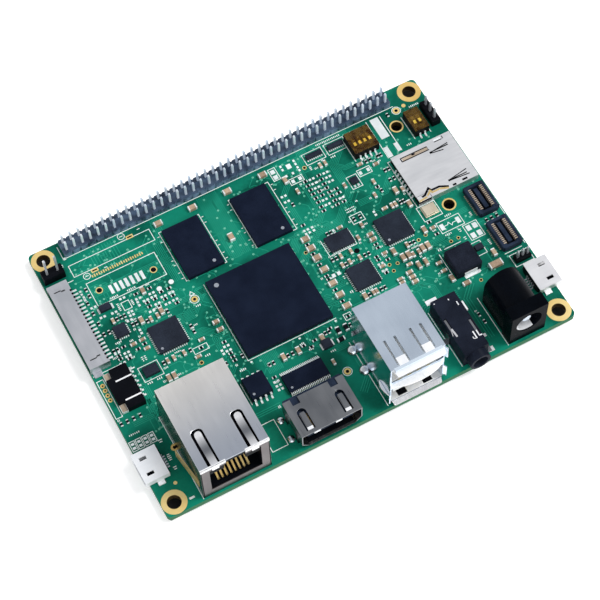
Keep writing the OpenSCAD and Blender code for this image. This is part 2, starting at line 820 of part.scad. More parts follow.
module chip_capacitors() {
  l = 2;
  w = 1.25;
  h = 0.9;
  fine_l = 1.6;
  fine_w = 0.8;
  side_x = cpu_x + cpu_w / 2 + cpu_stretch_x * cpu_gap_right / 2;
  back_y = (mem_y + mem_d / 2 + header_y - header_pitch) / 2;
  color("tan") {
    for (x = [-12.8, -4.1, 4.8, 13.9]) on_board(cpu_x + x, back_y) capacitor(l, w, h);
    on_board(cpu_x + 0.1, mem_y - 1.8) rotate(90) capacitor(l, w, h);
    for (y = [-9.5, -6.3, -3, 1, 4.4, 7.2, 9.9]) on_board(side_x, cpu_y + y) capacitor(l, w, h);
    for (y = [-1.2, 0.9]) on_board(cpu_x - cpu_w / 2 - 2.2, cpu_y + y) capacitor(fine_l, fine_w, h);
    for (x = [26.2, 24.8, 21.2, 19.8]) on_board(board_w - x, 30.6) rotate(90) capacitor(l, 1, h);
    for (x = [24.1, 22.3]) on_board(board_w - x, 27.2) rotate(90) capacitor(l, fine_w, h);
    for (y = [24, 25.3, 26.6]) on_board(board_w - 26.9, y) capacitor(fine_l, fine_w, h);
    for (y = [38, 39.4]) on_board(board_w - 29.8, y) capacitor(fine_l, fine_w, h);
    on_board(board_w - 9, 19.2) capacitor(3.2, 1.6, h);
  }
}

// A rounded mound of solder, w across and h high
module dome(w, h) {
  r = (w * w / 4 + h * h) / (2 * h);
  intersection() {
    translate([0, 0, h - r]) sphere(r);
    cylinder(d = w + 1, h = h + 1);
  }
}

module solder_domes() {
  large = 2.4;
  large_h = 0.9;
  small = 1.8;
  small_h = 0.6;
  color("gainsboro") {
    for (y = [10.4, 15.9]) on_board(usb_x - usb_w / 2 - large / 2 - fit, y) dome(large, large_h);
    for (y = [3.7, 8.6]) on_board(hdmi_x - hdmi_w / 2 - small / 2 - fit, y) dome(small, small_h);
  }
}

// Ethernet jack

module ethernet_contact_tails() {
  for (i = [0 : 7]) translate([(i - 3.5) * eth_pitch, eth_tail_y[i % 2]]) children();
}

module ethernet_slots() {
  ethernet_contact_tails() tail_slot(eth_contact_w, eth_tail_t);
  for (s = [-1, 1]) translate([s * (eth_w - sheet) / 2, eth_leg_y]) tail_slot(sheet, eth_leg_l);
  for (s = [-1, 1]) translate([s * eth_peg_x, eth_peg_y]) circle(d = eth_peg_d + 2 * hole_play);
  translate([0, eth_block_pin_y]) row(eth_block_pins, eth_block_pitch) pin_hole(header_pin);
}

// A window in a top plate, round at its back end
module finger_window(w, l) {
  translate([0, 0, -cut]) {
    box(w, l - w / 2, 2 * cut);
    translate([0, l - w / 2, 0]) cylinder(d = w, h = 2 * cut);
  }
}

module ethernet_shield() {
  plate_z = eth_h - sheet;
  leaf_out = -1.3;
  leaf_z = 2.5;
  leaf_h = 3;
  leaf_y = [2, 3.2, 10.4];
  leaf = [[0, leaf_y[0]], [0, leaf_y[1]], [leaf_out, leaf_y[2]], [leaf_out - sheet, leaf_y[2]],
    [-sheet, leaf_y[0]]];
  on_board(eth_x, eth_front) color("silver") {
    difference() {
      box(eth_w, eth_d, eth_h);
      translate([0, sheet, -cut]) box(eth_w - 2 * sheet, eth_d - 2 * sheet, plate_z + cut);
      translate([0, -cut, eth_floor]) box(eth_plug_w, cut + 2 * sheet, eth_plug_h);
      translate([0, -cut, eth_floor]) box(eth_latch_w, cut + 2 * sheet, eth_plug_h + eth_latch_h);
      for (s = [-1, 1])
        translate([s * eth_finger_x, window_front, plate_z]) finger_window(window_w, window_l);
    }
    for (s = [-1, 1]) translate([s * eth_finger_x, window_front - sheet, plate_z])
      rotate([-finger_dip, 0, 0]) box(finger_w, finger_l, sheet);
    for (s = [0, 1]) mirror([s, 0, 0])
      translate([-eth_w / 2 + sheet, 0, leaf_z]) linear_extrude(leaf_h) polygon(leaf);
    for (s = [-1, 1]) translate([s * (eth_w - sheet) / 2, eth_leg_y, 0]) tail(sheet, eth_leg_l, leg_root);
  }
}

module ethernet_housing() {
  on_board(eth_x, eth_front) color("#26282c") {
    difference() {
      translate([0, eth_housing_y, 0]) box(eth_inner_w, eth_housing_d, eth_inner_h);
      translate([0, 0, eth_floor]) box(eth_plug_w, eth_plug_d, eth_plug_h);
      translate([0, 0, eth_floor]) box(eth_latch_w, eth_latch_d, eth_plug_h + eth_latch_h);
      translate([0, eth_comb_y, -cut]) row(8, eth_pitch)
        box(eth_comb_w, eth_tail_y[1], eth_floor + 2 * cut);
      for (s = [-1, 1]) translate([s * eth_finger_x, 0, eth_inner_h - finger_room])
        box(window_w, window_front + window_l + fit, finger_room + cut);
    }
    for (s = [-1, 1]) translate([s * eth_peg_x, eth_peg_y, eth_peg_z])
      cylinder(d = eth_peg_d, h = leg_root - eth_peg_z);
  }
}

module ethernet_contacts() {
  low = 1.1;
  nose = 1.7;
  rise_y = 8;
  rise_z = eth_floor + eth_contact_rise;
  t = eth_tail_t;
  on_board(eth_x, eth_front) color("gold") for (i = [0 : 7]) {
    y = eth_tail_y[i % 2];
    translate([(i - 3.5) * eth_pitch, 0, 0]) slice(eth_contact_w) {
      translate([y - t / 2, tail_z]) square([t, low - tail_z + t]);
      translate([nose, low]) square([y + t / 2 - nose, t]);
      polygon([[nose, low], [nose + t, low], [rise_y, rise_z - t], [rise_y, rise_z], [nose, low + 2 * t]]);
    }
  }
}

module ethernet_transformer() {
  depth = eth_d - sheet - fit - eth_block_y;
  on_board(eth_x, eth_front) color("#303238") {
    translate([0, eth_block_y, 0]) box(eth_inner_w, depth, eth_inner_h);
    translate([0, eth_block_pin_y, 0]) row(eth_block_pins, eth_block_pitch)
      tail(header_pin, header_pin, leg_root);
  }
}

// HDMI socket

module hdmi_slots() {
  for (s = [-1, 1], y = hdmi_leg_y) translate([s * (hdmi_w - sheet) / 2, y]) tail_slot(sheet, hdmi_leg_l);
}

module hdmi_shell() {
  plate_z = hdmi_h - sheet;
  on_board(hdmi_x, hdmi_front) color("gray") {
    difference() {
      run_back(hdmi_d) slanted(hdmi_w, hdmi_h, hdmi_foot, hdmi_slant, 0);
      translate([0, -cut, 0]) run_back(hdmi_d + 2 * cut)
        slanted(hdmi_w, hdmi_h, hdmi_foot, hdmi_slant, sheet);
      for (s = [-1, 1]) translate([s * hdmi_finger_x, 0, plate_z]) {
        translate([0, hdmi_window_y, 0]) finger_window(hdmi_window_w, hdmi_window_l);
        translate([0, hdmi_d - hdmi_notch, -cut]) box(hdmi_notch_w, hdmi_notch + cut, 2 * cut);
      }
    }
    for (s = [-1, 1]) {
      translate([s * hdmi_finger_x, hdmi_window_y - sheet, plate_z])
        rotate([-finger_dip, 0, 0]) box(hdmi_finger_w, hdmi_finger_l, sheet);
      for (y = hdmi_leg_y) translate([s * (hdmi_w - sheet) / 2, y, 0]) tail(sheet, hdmi_leg_l, hdmi_h / 2);
    }
  }
}

module hdmi_insulator() {
  tongue_top = hdmi_tongue_z + hdmi_tongue_t;
  on_board(hdmi_x, hdmi_front) color("#202226") difference() {
    union() {
      translate([0, hdmi_block_y, 0]) run_back(hdmi_back - hdmi_block_y)
        slanted(hdmi_w, hdmi_h, hdmi_foot, hdmi_slant, sheet + fit);
      translate([0, hdmi_tongue_y, hdmi_tongue_z]) box(hdmi_tongue_w, hdmi_block_y, hdmi_tongue_t);
    }
    translate([0, hdmi_block_y - cut, tongue_top]) box(hdmi_slit_w, hdmi_d, hdmi_slit_h);
    translate([0, hdmi_block_y - cut, hdmi_tongue_z - hdmi_slit_h]) box(hdmi_slit_w, hdmi_d, hdmi_slit_h);
    for (s = [-1, 1]) translate([s * hdmi_finger_x, 0, hdmi_h - sheet - fit - finger_room])
      box(hdmi_window_w, hdmi_window_y + hdmi_window_l + fit, finger_room + cut);
  }
}

// A contact strip that runs back along a tongue, drops behind the block and ends in a foot
module foot_contact(w, front, z, back) {
  foot = 0.7;
  slice(w) {
    translate([front, z]) square([back + 2 * strip_t - front, strip_t]);
    translate([back + strip_t, 0]) square([strip_t, z + strip_t]);
    translate([back + strip_t, 0]) square([foot, strip_t]);
  }
}

module hdmi_contacts() {
  w = 0.3;
  front = hdmi_tongue_y + w;
  on_board(hdmi_x, hdmi_front) color("gold") {
    row(hdmi_ways, hdmi_pitch) foot_contact(w, front, hdmi_tongue_z + hdmi_tongue_t, hdmi_back);
    row(hdmi_ways - 1, hdmi_pitch) foot_contact(w, front, hdmi_tongue_z - strip_t, hdmi_back);
  }
}

// USB sockets

module usb_slots() {
  for (s = [-1, 1], y = usb_leg_y) translate([s * (usb_w - sheet) / 2, y]) tail_slot(sheet, usb_leg_l);
  for (y = usb_tail_y) translate([0, y]) row(4, usb_pitch) tail_slot(usb_tail_w, usb_tail_t);
}

module usb_window() {
  translate([-usb_window_w / 2, usb_window_y, -cut]) cube([usb_window_w, usb_window_l, 2 * cut]);
}

// A spring finger held at its back end, dipping towards the front
module usb_finger() {
  length = usb_window_l - usb_finger_gap;
  translate([0, usb_window_y + usb_window_l, 0]) rotate([finger_dip, 0, 0])
    translate([0, sheet - length, 0]) box(usb_finger_w, length, sheet);
}

// A flared lip along the front edge of a wall, w long
module usb_lip_strip(w) {
  translate([0, sheet, 0]) rotate([-usb_flare, 0, 0])
    translate([0, -usb_lip - sheet, 0]) box(w, usb_lip + sheet, sheet);
}

module usb_shell() {
  plate_z = usb_h - sheet;
  inset = 0.8;
  on_board(usb_x, usb_front) color("lightsteelblue") {
    difference() {
      translate([0, 0, usb_foot]) box(usb_w, usb_d, usb_h - usb_foot);
      translate([0, -cut, usb_floor]) box(usb_w - 2 * sheet, usb_d + cut - sheet, plate_z - usb_floor);
      translate([0, usb_block_y - 1, 0]) box(usb_w - 2 * sheet, usb_d - sheet - usb_block_y + 1, usb_h / 2);
      for (s = [-1, 1]) {
        translate([s * usb_finger_x, 0, plate_z]) usb_window();
        translate([s * usb_finger_x, usb_slot_y, 0]) box(usb_slot_w, usb_slot_l, usb_floor + cut);
      }
    }
    for (s = [-1, 1]) translate([s * usb_finger_x, 0, plate_z]) usb_finger();
    translate([0, 0, usb_shelf_z]) box(usb_w, sheet, usb_shelf_t);
    translate([0, 0, plate_z]) usb_lip_strip(usb_w - 2 * inset);
    translate([0, 0, usb_floor]) mirror([0, 0, 1]) usb_lip_strip(usb_w - 2 * inset);
    for (s = [0, 1], z = [usb_floor, usb_shelf_z + usb_shelf_t])
      mirror([s, 0, 0]) translate([usb_w / 2 - sheet, 0, z + usb_port_h / 2])
        rotate([0, 90, 0]) usb_lip_strip(usb_port_h - 2 * inset);
    for (s = [-1, 1], y = usb_leg_y)
      translate([s * (usb_w - sheet) / 2, y, 0]) tail(sheet, usb_leg_l, usb_floor + leg_root);
  }
}

module usb_insulator() {
  inner = usb_w - 2 * (sheet + fit);
  on_board(usb_x, usb_front) color("whitesmoke") difference() {
    union() {
      translate([0, usb_block_y, 0]) box(inner, usb_back - usb_block_y, usb_h - sheet - fit);
      translate([0, sheet + fit, usb_shelf_z]) box(inner, usb_block_y, usb_shelf_t);
      for (z = usb_tongue_z) translate([0, usb_tongue_y, z]) box(usb_tongue_w, usb_block_y, usb_tongue_t);
    }
    for (k = [0, 1]) row(4, usb_pitch) usb_channel(usb_tail_y[1 - k], usb_tongue_z[k]);
  }
}

// Room in the plastic for one contact and its tail
module usb_channel(y, z) {
  play = slide_gap;
  w = usb_contact_w + 2 * play;
  back = y + usb_tail_t / 2 + play;
  translate([0, usb_block_y - cut, z - usb_contact_t - play])
    box(w, back - usb_block_y + cut, usb_contact_t + play);
  translate([0, y - usb_tail_t / 2 - play, -cut]) box(w, usb_tail_t + 2 * play, z + cut);
}

module usb_contacts() {
  t = usb_contact_t;
  on_board(usb_x, usb_front) color("gold") for (k = [0, 1]) row(4, usb_pitch) {
    y = usb_tail_y[1 - k];
    z = usb_tongue_z[k];
    translate([0, usb_contact_y, z - t]) box(usb_contact_w, y + usb_tail_t / 2 - usb_contact_y, t);
    translate([0, y, 0]) tail(usb_tail_w, usb_tail_t, z - t / 2);
  }
}

// Audio jack

// Places children in the two windows over the bore's sides
module audio_windows() {
  for (s = [-1, 1]) translate([s * (audio_w / 2 - audio_window_in), audio_window_y - s * audio_window_step,
    audio_h - audio_window_h]) children();
}

module audio_jack_body() {
  on_board(audio_x, audio_front) color("#17181d") difference() {
    union() {
      box(audio_w, audio_d, audio_h);
      translate([0, cut, audio_axis]) rotate([90, 0, 0]) cylinder(d = audio_nose_d, h = audio_nose + cut);
    }
    translate([0, audio_bore_len - audio_nose, audio_axis]) rotate([90, 0, 0])
      cylinder(d = audio_bore_d, h = audio_bore_len + cut);
    audio_windows() box(audio_window_w, audio_window_l, audio_window_h + cut);
  }
}

// A soldered foot beside the jack, with its strip up the jack's side
module side_terminal(foot, l, h) {
  t = 0.2;
  translate([0, -l / 2, 0]) cube([foot, l, t]);
  translate([0, -l / 2, 0]) cube([t, l, h]);
}

module audio_jack_contacts() {
  foot = 1.3;
  side_l = 1.4;
  back_l = 1.6;
  rise = 3;
  leaf = 0.5;
  leaf_h = 0.7;
  on_board(audio_x, audio_front) color("gainsboro") {
    for (p = [[0, 0.9], [0, 12.6], [1, 6.8]]) mirror([p[0], 0, 0])
      translate([audio_w / 2, p[1], 0]) side_terminal(foot, side_l, rise);
    translate([0, audio_d, 0]) rotate(90) side_terminal(foot, back_l, rise);
    audio_windows() translate([0, slide_gap, 0]) box(leaf, audio_window_l - 2 * slide_gap, leaf_h);
  }
}

// Power jack

module power_slots() {
  for (y = dc_blade_y) translate([0, y]) tail_slot(dc_blade_w, dc_blade_t);
}

module power_jack_body() {
  run = dc_end - dc_block_d + cut;
  on_board(dc_x, dc_front) color("#14151a") difference() {
    union() {
      box(dc_w, dc_block_d, dc_h);
      translate([0, dc_block_d - cut, 0]) box(dc_barrel_d, run, dc_axis);
      translate([0, dc_end, dc_axis]) rotate([90, 0, 0]) cylinder(d = dc_barrel_d, h = run);
    }
    translate([0, dc_bore_len, dc_axis]) rotate([90, 0, 0]) cylinder(d = dc_bore_d, h = dc_bore_len + cut);
    translate([0, dc_d, dc_axis]) rotate([90, 0, 0]) cylinder(d = dc_pin_d + 2 * fit, h = dc_d);
    translate([0, dc_blade_y[1] - dc_blade_t / 2 - fit, -cut])
      box(dc_blade_w + 2 * fit, dc_blade_t + 2 * fit, dc_axis);
  }
}

module power_jack_pin() {
  tip = 1;
  on_board(dc_x, dc_front, dc_axis) color("silver")
    translate([0, dc_end, 0]) rotate([90, 0, 0]) cylinder(d = dc_pin_d, h = dc_end - tip);
}

module power_jack_terminals() {
  sleeve_top = dc_axis - dc_bore_d / 2;
  on_board(dc_x, dc_front) color("silver") {
    translate([0, dc_blade_y[0], 0]) tail(dc_blade_w, dc_blade_t, dc_axis + dc_pin_d / 2);
    translate([0, dc_end, dc_axis - dc_pin_d / 2]) box(dc_pin_d, dc_blade_y[0] - dc_end, dc_pin_d);
    translate([0, dc_blade_y[1], 0]) tail(dc_blade_w, dc_blade_t, sleeve_top);
  }
}

// Micro USB sockets

// Turns a socket that opens to the front so that it opens over the left or the right edge
module micro_left() {
  on_board(-micro_over, micro_left_y) rotate(-90) children();
}

module micro_right() {
  on_board(board_w + micro_over, micro_right_y) rotate(90) children();
}

module micro_shell() {
  tab_y = 2.6;
  tab_l = 1.6;
  latch = [0.8, 1.6];
  latch_x = 1.9;
  latch_y = 1.2;
  difference() {
    run_back(micro_d) slanted(micro_w, micro_h, micro_foot, micro_slant, 0);
    translate([0, -cut, 0]) run_back(micro_d + 2 * cut)
      slanted(micro_w, micro_h, micro_foot, micro_slant, sheet);
    for (s = [-1, 1]) translate([s * latch_x, latch_y, micro_h - cut]) box(latch[0], latch[1], 2 * cut);
  }
  for (s = [-1, 1]) {
    translate([s * (micro_w / 2 + micro_tab / 2 - sheet), tab_y, 0]) box(micro_tab, tab_l, sheet);
    translate([s * (micro_w - sheet) / 2, tab_y, 0]) box(sheet, tab_l, micro_h / 2);
  }
}

module micro_usb_left_shell() {
  color("gainsboro") micro_left() micro_shell();
}

module micro_usb_right_shell() {
  color("gainsboro") micro_right() micro_shell();
}

module micro_insulator() {
  difference() {
    union() {
      translate([0, micro_block_y, 0]) run_back(micro_back - micro_block_y)
        slanted(micro_w, micro_h, micro_foot, micro_slant, sheet + fit);
      translate([0, micro_tongue_y, micro_tongue_z]) box(micro_tongue_w, micro_block_y, micro_tongue_t);
    }
    translate([0, micro_block_y - cut, micro_tongue_z - strip_t - strip_play])
      box(micro_ways * micro_pitch + slit_play, micro_d, strip_t + strip_play);
  }
}

module micro_usb_insulators() {
  color("#222428") {
    micro_left() micro_insulator();
    micro_right() micro_insulator();
  }
}

module micro_contact_row() {
  w = 0.3;
  row(micro_ways, micro_pitch) foot_contact(w, micro_tongue_y + w, micro_tongue_z - strip_t, micro_back);
}

module micro_usb_contacts() {
  color("gold") {
    micro_left() micro_contact_row();
    micro_right() micro_contact_row();
  }
}

// Memory card socket, opening over the right edge

module at_card(x, y, z = 0) {
  on_board(card_x + x, card_y + y, z) children();
}

module card_socket_shell() {
  step_d = 3.2;
  step_w = 1.5;
  slit = 0.3;
  slit_l = 4.8;
  slit_in = [3.2, 1.8];
  slit_x = card_d - 2 - slit_l;
  slot_x = 2.2;
  slot_in = 2.1;
  slot_l = 6.7;
  slot_w = 0.7;
  hole_in = 3.8;
  hole_side = 1.1;
  hole_l = 1.2;
  hole_w = 0.6;
  color("whitesmoke") difference() {
    at_card(0, -card_half) cube([card_d, card_w, card_h]);
    at_card(-cut, -card_half + sheet, -cut) cube([card_d + 2 * cut, card_w - 2 * sheet, card_top + cut]);
    at_card(slot_x, card_half - slot_in, card_top - cut) cube([slot_l, slot_w, 2 * cut]);
    at_card(card_d - hole_in, card_half - hole_side, card_top - cut) cube([hole_l, hole_w, 2 * cut]);
    for (y = [card_half - slit_in[0], slit_in[1] - card_half])
      at_card(slit_x, y, card_top - cut) cube([slit_l, slit, 2 * cut]);
    at_card(-cut, -card_half - cut, card_floor + strip_t + fit) cube([step_d + cut, step_w + cut, card_h]);
  }
}

// The base: a floor, a rear block with the contact slots, two rails and the eject slider's stop
module card_socket_base() {
  lip = 1.2;
  length = card_d - lip;
  color("#303238") difference() {
    union() {
      at_card(fit, -card_inner) cube([length, 2 * card_inner, card_floor]);
      at_card(fit, -card_inner) cube([card_rear, card_inner + card_groove_y - slide_gap, card_top - fit]);
      at_card(fit, -card_inner) cube([card_stop, 2 * card_inner, card_top - fit]);
      at_card(fit, -card_inner) cube([length, card_rail, card_floor + card_rail_h]);
      at_card(fit, card_inner - card_rail) cube([length, card_rail, card_floor + card_rail_h]);
    }
    at_card(-cut, 0, card_floor) rotate(90) row(card_ways, card_pitch)
      translate([0, -card_contact_l - 2 * cut, 0])
        box(card_contact_w + 2 * slide_gap, card_contact_l + 2 * cut, strip_t + strip_play);
  }
}

module card_socket_contacts() {
  w = card_contact_w;
  foot = 0.7;
  bend = -fit - strip_t;
  color("gold") at_card(0, 0) for (i = [0 : card_ways - 1]) {
    translate([0, (i - (card_ways - 1) / 2) * card_pitch - w / 2, 0]) {
      translate([-foot, 0, 0]) cube([foot - fit, w, strip_t]);
      translate([bend, 0, 0]) cube([strip_t, w, card_floor + strip_t]);
      translate([bend, 0, card_floor]) cube([card_contact_l, w, strip_t]);
    }
  }
}

module card_eject_slider() {
  color("ivory") at_card(card_slider_x, card_groove_y, card_floor + slide_gap)
    cube([card_slider_l, card_slider_w, card_slider_h]);
}

// Display connector, opening over the left edge

module at_display() {
  on_board(disp_left, disp_y) rotate(-90) children();
}

module display_connector_shell() {
  ear = 1.4;
  ear_l = 2;
  ear_y = 0.4;
  slot = [0.5, 2.4];
  slot_y = 1;
  slots = [2.2, 3.6];
  color("rosybrown") at_display() {
    difference() {
      box(disp_w, disp_d, disp_h);
      translate([0, -cut, -cut]) box(disp_w - 2 * sheet, disp_d + 2 * cut, disp_h - sheet + cut);
      for (s = [-1, 1], x = slots)
        translate([s * (disp_w / 2 - x), slot_y, disp_h - cut]) box(slot[0], slot[1], 2 * cut);
    }
    for (s = [-1, 1]) translate([s * (disp_w / 2 + ear / 2 - sheet), ear_y, 0]) box(ear, ear_l, sheet);
  }
}

module display_connector_housing() {
  inner = disp_w - 2 * (sheet + fit);
  mouth_w = disp_ways * disp_pitch + 2 * disp_contact_w;
  color("#3a3438") at_display() difference() {
    translate([0, sheet, 0]) box(inner, disp_d - sheet - fit, disp_h - sheet - fit);
    translate([0, -cut, disp_mouth_z]) box(mouth_w, disp_d - disp_wall + cut, disp_mouth_h);
    translate([0, -cut, disp_mouth_z - strip_t - strip_play])
      row(disp_ways, disp_pitch)
        box(disp_contact_w + 2 * slide_gap, disp_d + 2 * cut, strip_t + 2 * strip_play);
  }
}

module display_connector_contacts() {
  front = 0.8;
  back = disp_d;
  foot = 1.1;
  z = disp_mouth_z - strip_t;
  color("silver") at_display() row(disp_ways, disp_pitch) slice(disp_contact_w) {
    translate([front, z]) square([back + strip_t - front, strip_t]);
    translate([back, 0]) square([strip_t, z + strip_t]);
    translate([back, 0]) square([foot, strip_t]);
  }
}

// Slide switches

function dip_w(n) = (n - 1) * dip_pitch + 2 * dip_margin;

module dip_body(n) {
  difference() {
    block(dip_w(n), dip_d, dip_h);
    row(n, dip_pitch) translate([-dip_slot_w / 2, -dip_slot_l / 2, dip_h - dip_slot])
      cube([dip_slot_w, dip_slot_l, dip_slot + cut]);
  }
}

module switch_four_body() {
  on_board(dip4_x, dip4_y) color("#2a241c") dip_body(4);
}

module switch_two_body() {
  on_board(dip2_x, dip2_y) color("#2a241c") dip_body(2);
}

module switch_films() {
  color("goldenrod") {
    on_board(dip4_x, dip4_y, dip_h) block(dip_w(4), dip_d, film_t);
    on_board(dip2_x, dip2_y, dip_h) block(dip_w(2), dip_d, film_t);
  }
}

// One slider at the front end of its slot, resting just clear of the slot's floor and the film
module dip_slider(n, i) {
  h = dip_slot - 2 * slide_gap;
  translate([(i - (n + 1) / 2) * dip_pitch, -dip_slot_l / 2 + slide_gap, dip_h - dip_slot + slide_gap])
    box(dip_knob_w, dip_knob_l, h);
}

module switch_four_slider(i) {
  on_board(dip4_x, dip4_y) color("khaki") dip_slider(4, i);
}

module switch_two_slider(i) {
  on_board(dip2_x, dip2_y) color("khaki") dip_slider(2, i);
}

module switch_four_slider_1() {
  switch_four_slider(1);
}

module switch_four_slider_2() {
  switch_four_slider(2);
}

module switch_four_slider_3() {
  switch_four_slider(3);
}

module switch_four_slider_4() {
  switch_four_slider(4);
}

module switch_two_slider_1() {
  switch_two_slider(1);
}

module switch_two_slider_2() {
  switch_two_slider(2);
}

// Flat feet of the switches, standing out at the front and the back
module dip_feet(n) {
  w = 0.4;
  t = 0.2;
  rise = 1;
  for (s = [0, 180]) rotate(s) translate([0, dip_d / 2, 0]) row(n, dip_pitch) {
    box(w, dip_lead_out, t);
    box(w, t, rise);
  }
}

module switch_leads() {
  color("silver") {
    on_board(dip4_x, dip4_y) dip_feet(4);
    on_board(dip2_x, dip2_y) dip_feet(2);
  }
}

// Camera connectors

module camera_connector_bodies() {
  color("#3c3830") for (y = cam_y) on_board(cam_x, y) difference() {
    block(cam_w - 2 * strip_t, cam_l, cam_h);
    translate([0, 0, cam_floor]) block(cam_w - 2 * cam_wall, cam_l - 2 * cam_end, cam_h);
  }
}

// A clip over one long wall: up from its foot, across the top and down inside
module camera_clip() {
  half = cam_w / 2;
  inner = half - cam_wall;
  drop = 0.8;
  foot = 0.5;
  rotate(90) slice(cam_contact_w) {
    translate([half - strip_t, 0]) square([strip_t, cam_h + strip_t]);
    translate([half - strip_t, 0]) square([foot + strip_t, strip_t]);
    translate([inner - strip_t, cam_h]) square([cam_wall + strip_t, strip_t]);
    translate([inner - strip_t, cam_h - drop]) square([strip_t, drop + strip_t]);
  }
}

module camera_connector_contacts() {
  color("gold") for (y = cam_y, turn = [0, 180], i = [0 : cam_ways - 1]) {
    on_board(cam_x, y + (i - (cam_ways - 1) / 2) * cam_pitch) rotate(turn) camera_clip();
  }
}

// Small headers: two pins at the left, three at the right, and three fine ones near the front

module two_row() {
  on_plan(small_two[0], small_two[1]) row(two_ways, two_pitch) children();
}

module three_row() {
  on_plan(small_three[0], small_three[1]) rotate(90) row(three_ways, small_pitch) children();
}

module fine_row() {
  on_plan(small_fine[0], small_fine[1]) row(three_ways, fine_pitch) children();
}

module small_header_holes() {
  two_row() pin_hole(small_pin);
  three_row() pin_hole(small_pin);
  fine_row() pin_hole(small_pin);
}

module header_strip(n, pitch, w, h, extra = 0) {
  linear_extrude(h) difference() {
    square([n * pitch + extra, w], center = true);
    row(n, pitch) square(small_pin + 2 * strip_clear(), center = true);
  }
}

module small_header_bodies() {
  color("#33363c") {
    on_board(small_two[0], small_two[1]) header_strip(two_ways, two_pitch, two_pitch, two_body_h);
    on_board(small_three[0], small_three[1]) rotate(90)
      header_strip(three_ways, small_pitch, three_body_w, small_body_h, header_wall);
    on_board(small_fine[0], small_fine[1]) header_strip(three_ways, fine_pitch, fine_body_w, fine_body_h);
  }
}

module small_header_pins() {
  color("silver") translate([0, 0, board_t]) {
    two_row() tail(small_pin, small_pin, two_pin_h);
    three_row() tail(small_pin, small_pin, small_pin_h);
    fine_row() tail(small_pin, small_pin, fine_pin_h);
  }
}

// Wire connector at the left edge, opening to the left, with a soldered tab in each front corner

module at_wire() {
  on_board(wire_at[0], wire_at[1]) rotate(-90) children();
}

module wire_connector_body() {
  mouth_h = wire_h - 2 * wire_wall;
  mouth_w = wire_w - 2 * (wire_tab_w + wire_wall);
  chamber_d = wire_d - wire_back - wire_tab_d - wire_wall;
  channel = wire_contact + 2 * slide_gap;
  color("#1b1b20") at_wire() difference() {
    box(wire_w, wire_d, wire_h);
    for (s = [-1, 1]) translate([s * (wire_tab_x + cut / 2), -cut, -cut])
      box(wire_tab_w + cut, wire_tab_d + cut, wire_h + 2 * cut);
    translate([0, -cut, wire_wall]) box(mouth_w, wire_tab_d + 2 * cut, mouth_h);
    translate([0, wire_tab_d + wire_wall, wire_wall]) box(wire_ways * wire_pitch, chamber_d, mouth_h);
    translate([0, wire_d - wire_back - cut, wire_wall]) row(wire_ways, wire_pitch)
      box(channel, wire_back + 2 * cut, channel);
  }
}

module wire_connector_contacts() {
  t = 0.2;
  foot = 0.7;
  front = wire_tab_d + 1;
  z = wire_wall + slide_gap;
  bend = wire_d + t;
  color("silver") at_wire() {
    row(wire_ways, wire_pitch) slice(wire_contact) {
      translate([front, z]) square([bend + t - front, wire_contact]);
      translate([bend, 0]) square([t, z + wire_contact]);
      translate([bend, 0]) square([foot, t]);
    }
    for (s = [-1, 1]) translate([s * wire_tab_x, 0, 0])
      box(wire_tab_w - 2 * fit, wire_tab_d - fit, wire_tab_h);
  }
}

circuit_board();
plated_rings();
expansion_header_body();
expansion_header_pins();
processor();
memory_chip_left();
memory_chip_right();
network_chip();
sound_chip();
storage_chip();
display_driver();
chip_leads();
small_chips();
power_inductor();
crystal();
chip_capacitors();
solder_domes();
ethernet_shield();
ethernet_housing();
ethernet_contacts();
ethernet_transformer();
hdmi_shell();
hdmi_insulator();
hdmi_contacts();
usb_shell();
usb_insulator();
usb_contacts();
audio_jack_body();
audio_jack_contacts();
power_jack_body();
power_jack_pin();
power_jack_terminals();
micro_usb_left_shell();
micro_usb_right_shell();
micro_usb_insulators();
micro_usb_contacts();
card_socket_shell();
card_socket_base();
card_socket_contacts();
card_eject_slider();
display_connector_shell();
display_connector_housing();
display_connector_contacts();
switch_four_body();
switch_two_body();
switch_films();
switch_leads();
switch_four_slider_1();
switch_four_slider_2();
switch_four_slider_3();
switch_four_slider_4();
switch_two_slider_1();
switch_two_slider_2();
camera_connector_bodies();
camera_connector_contacts();
small_header_bodies();
small_header_pins();
wire_connector_body();
wire_connector_contacts();
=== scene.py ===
"""Looks of the single board computer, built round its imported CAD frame."""

import random
from math import pi, radians

import bmesh
import bpy
from mathutils import Matrix, Vector


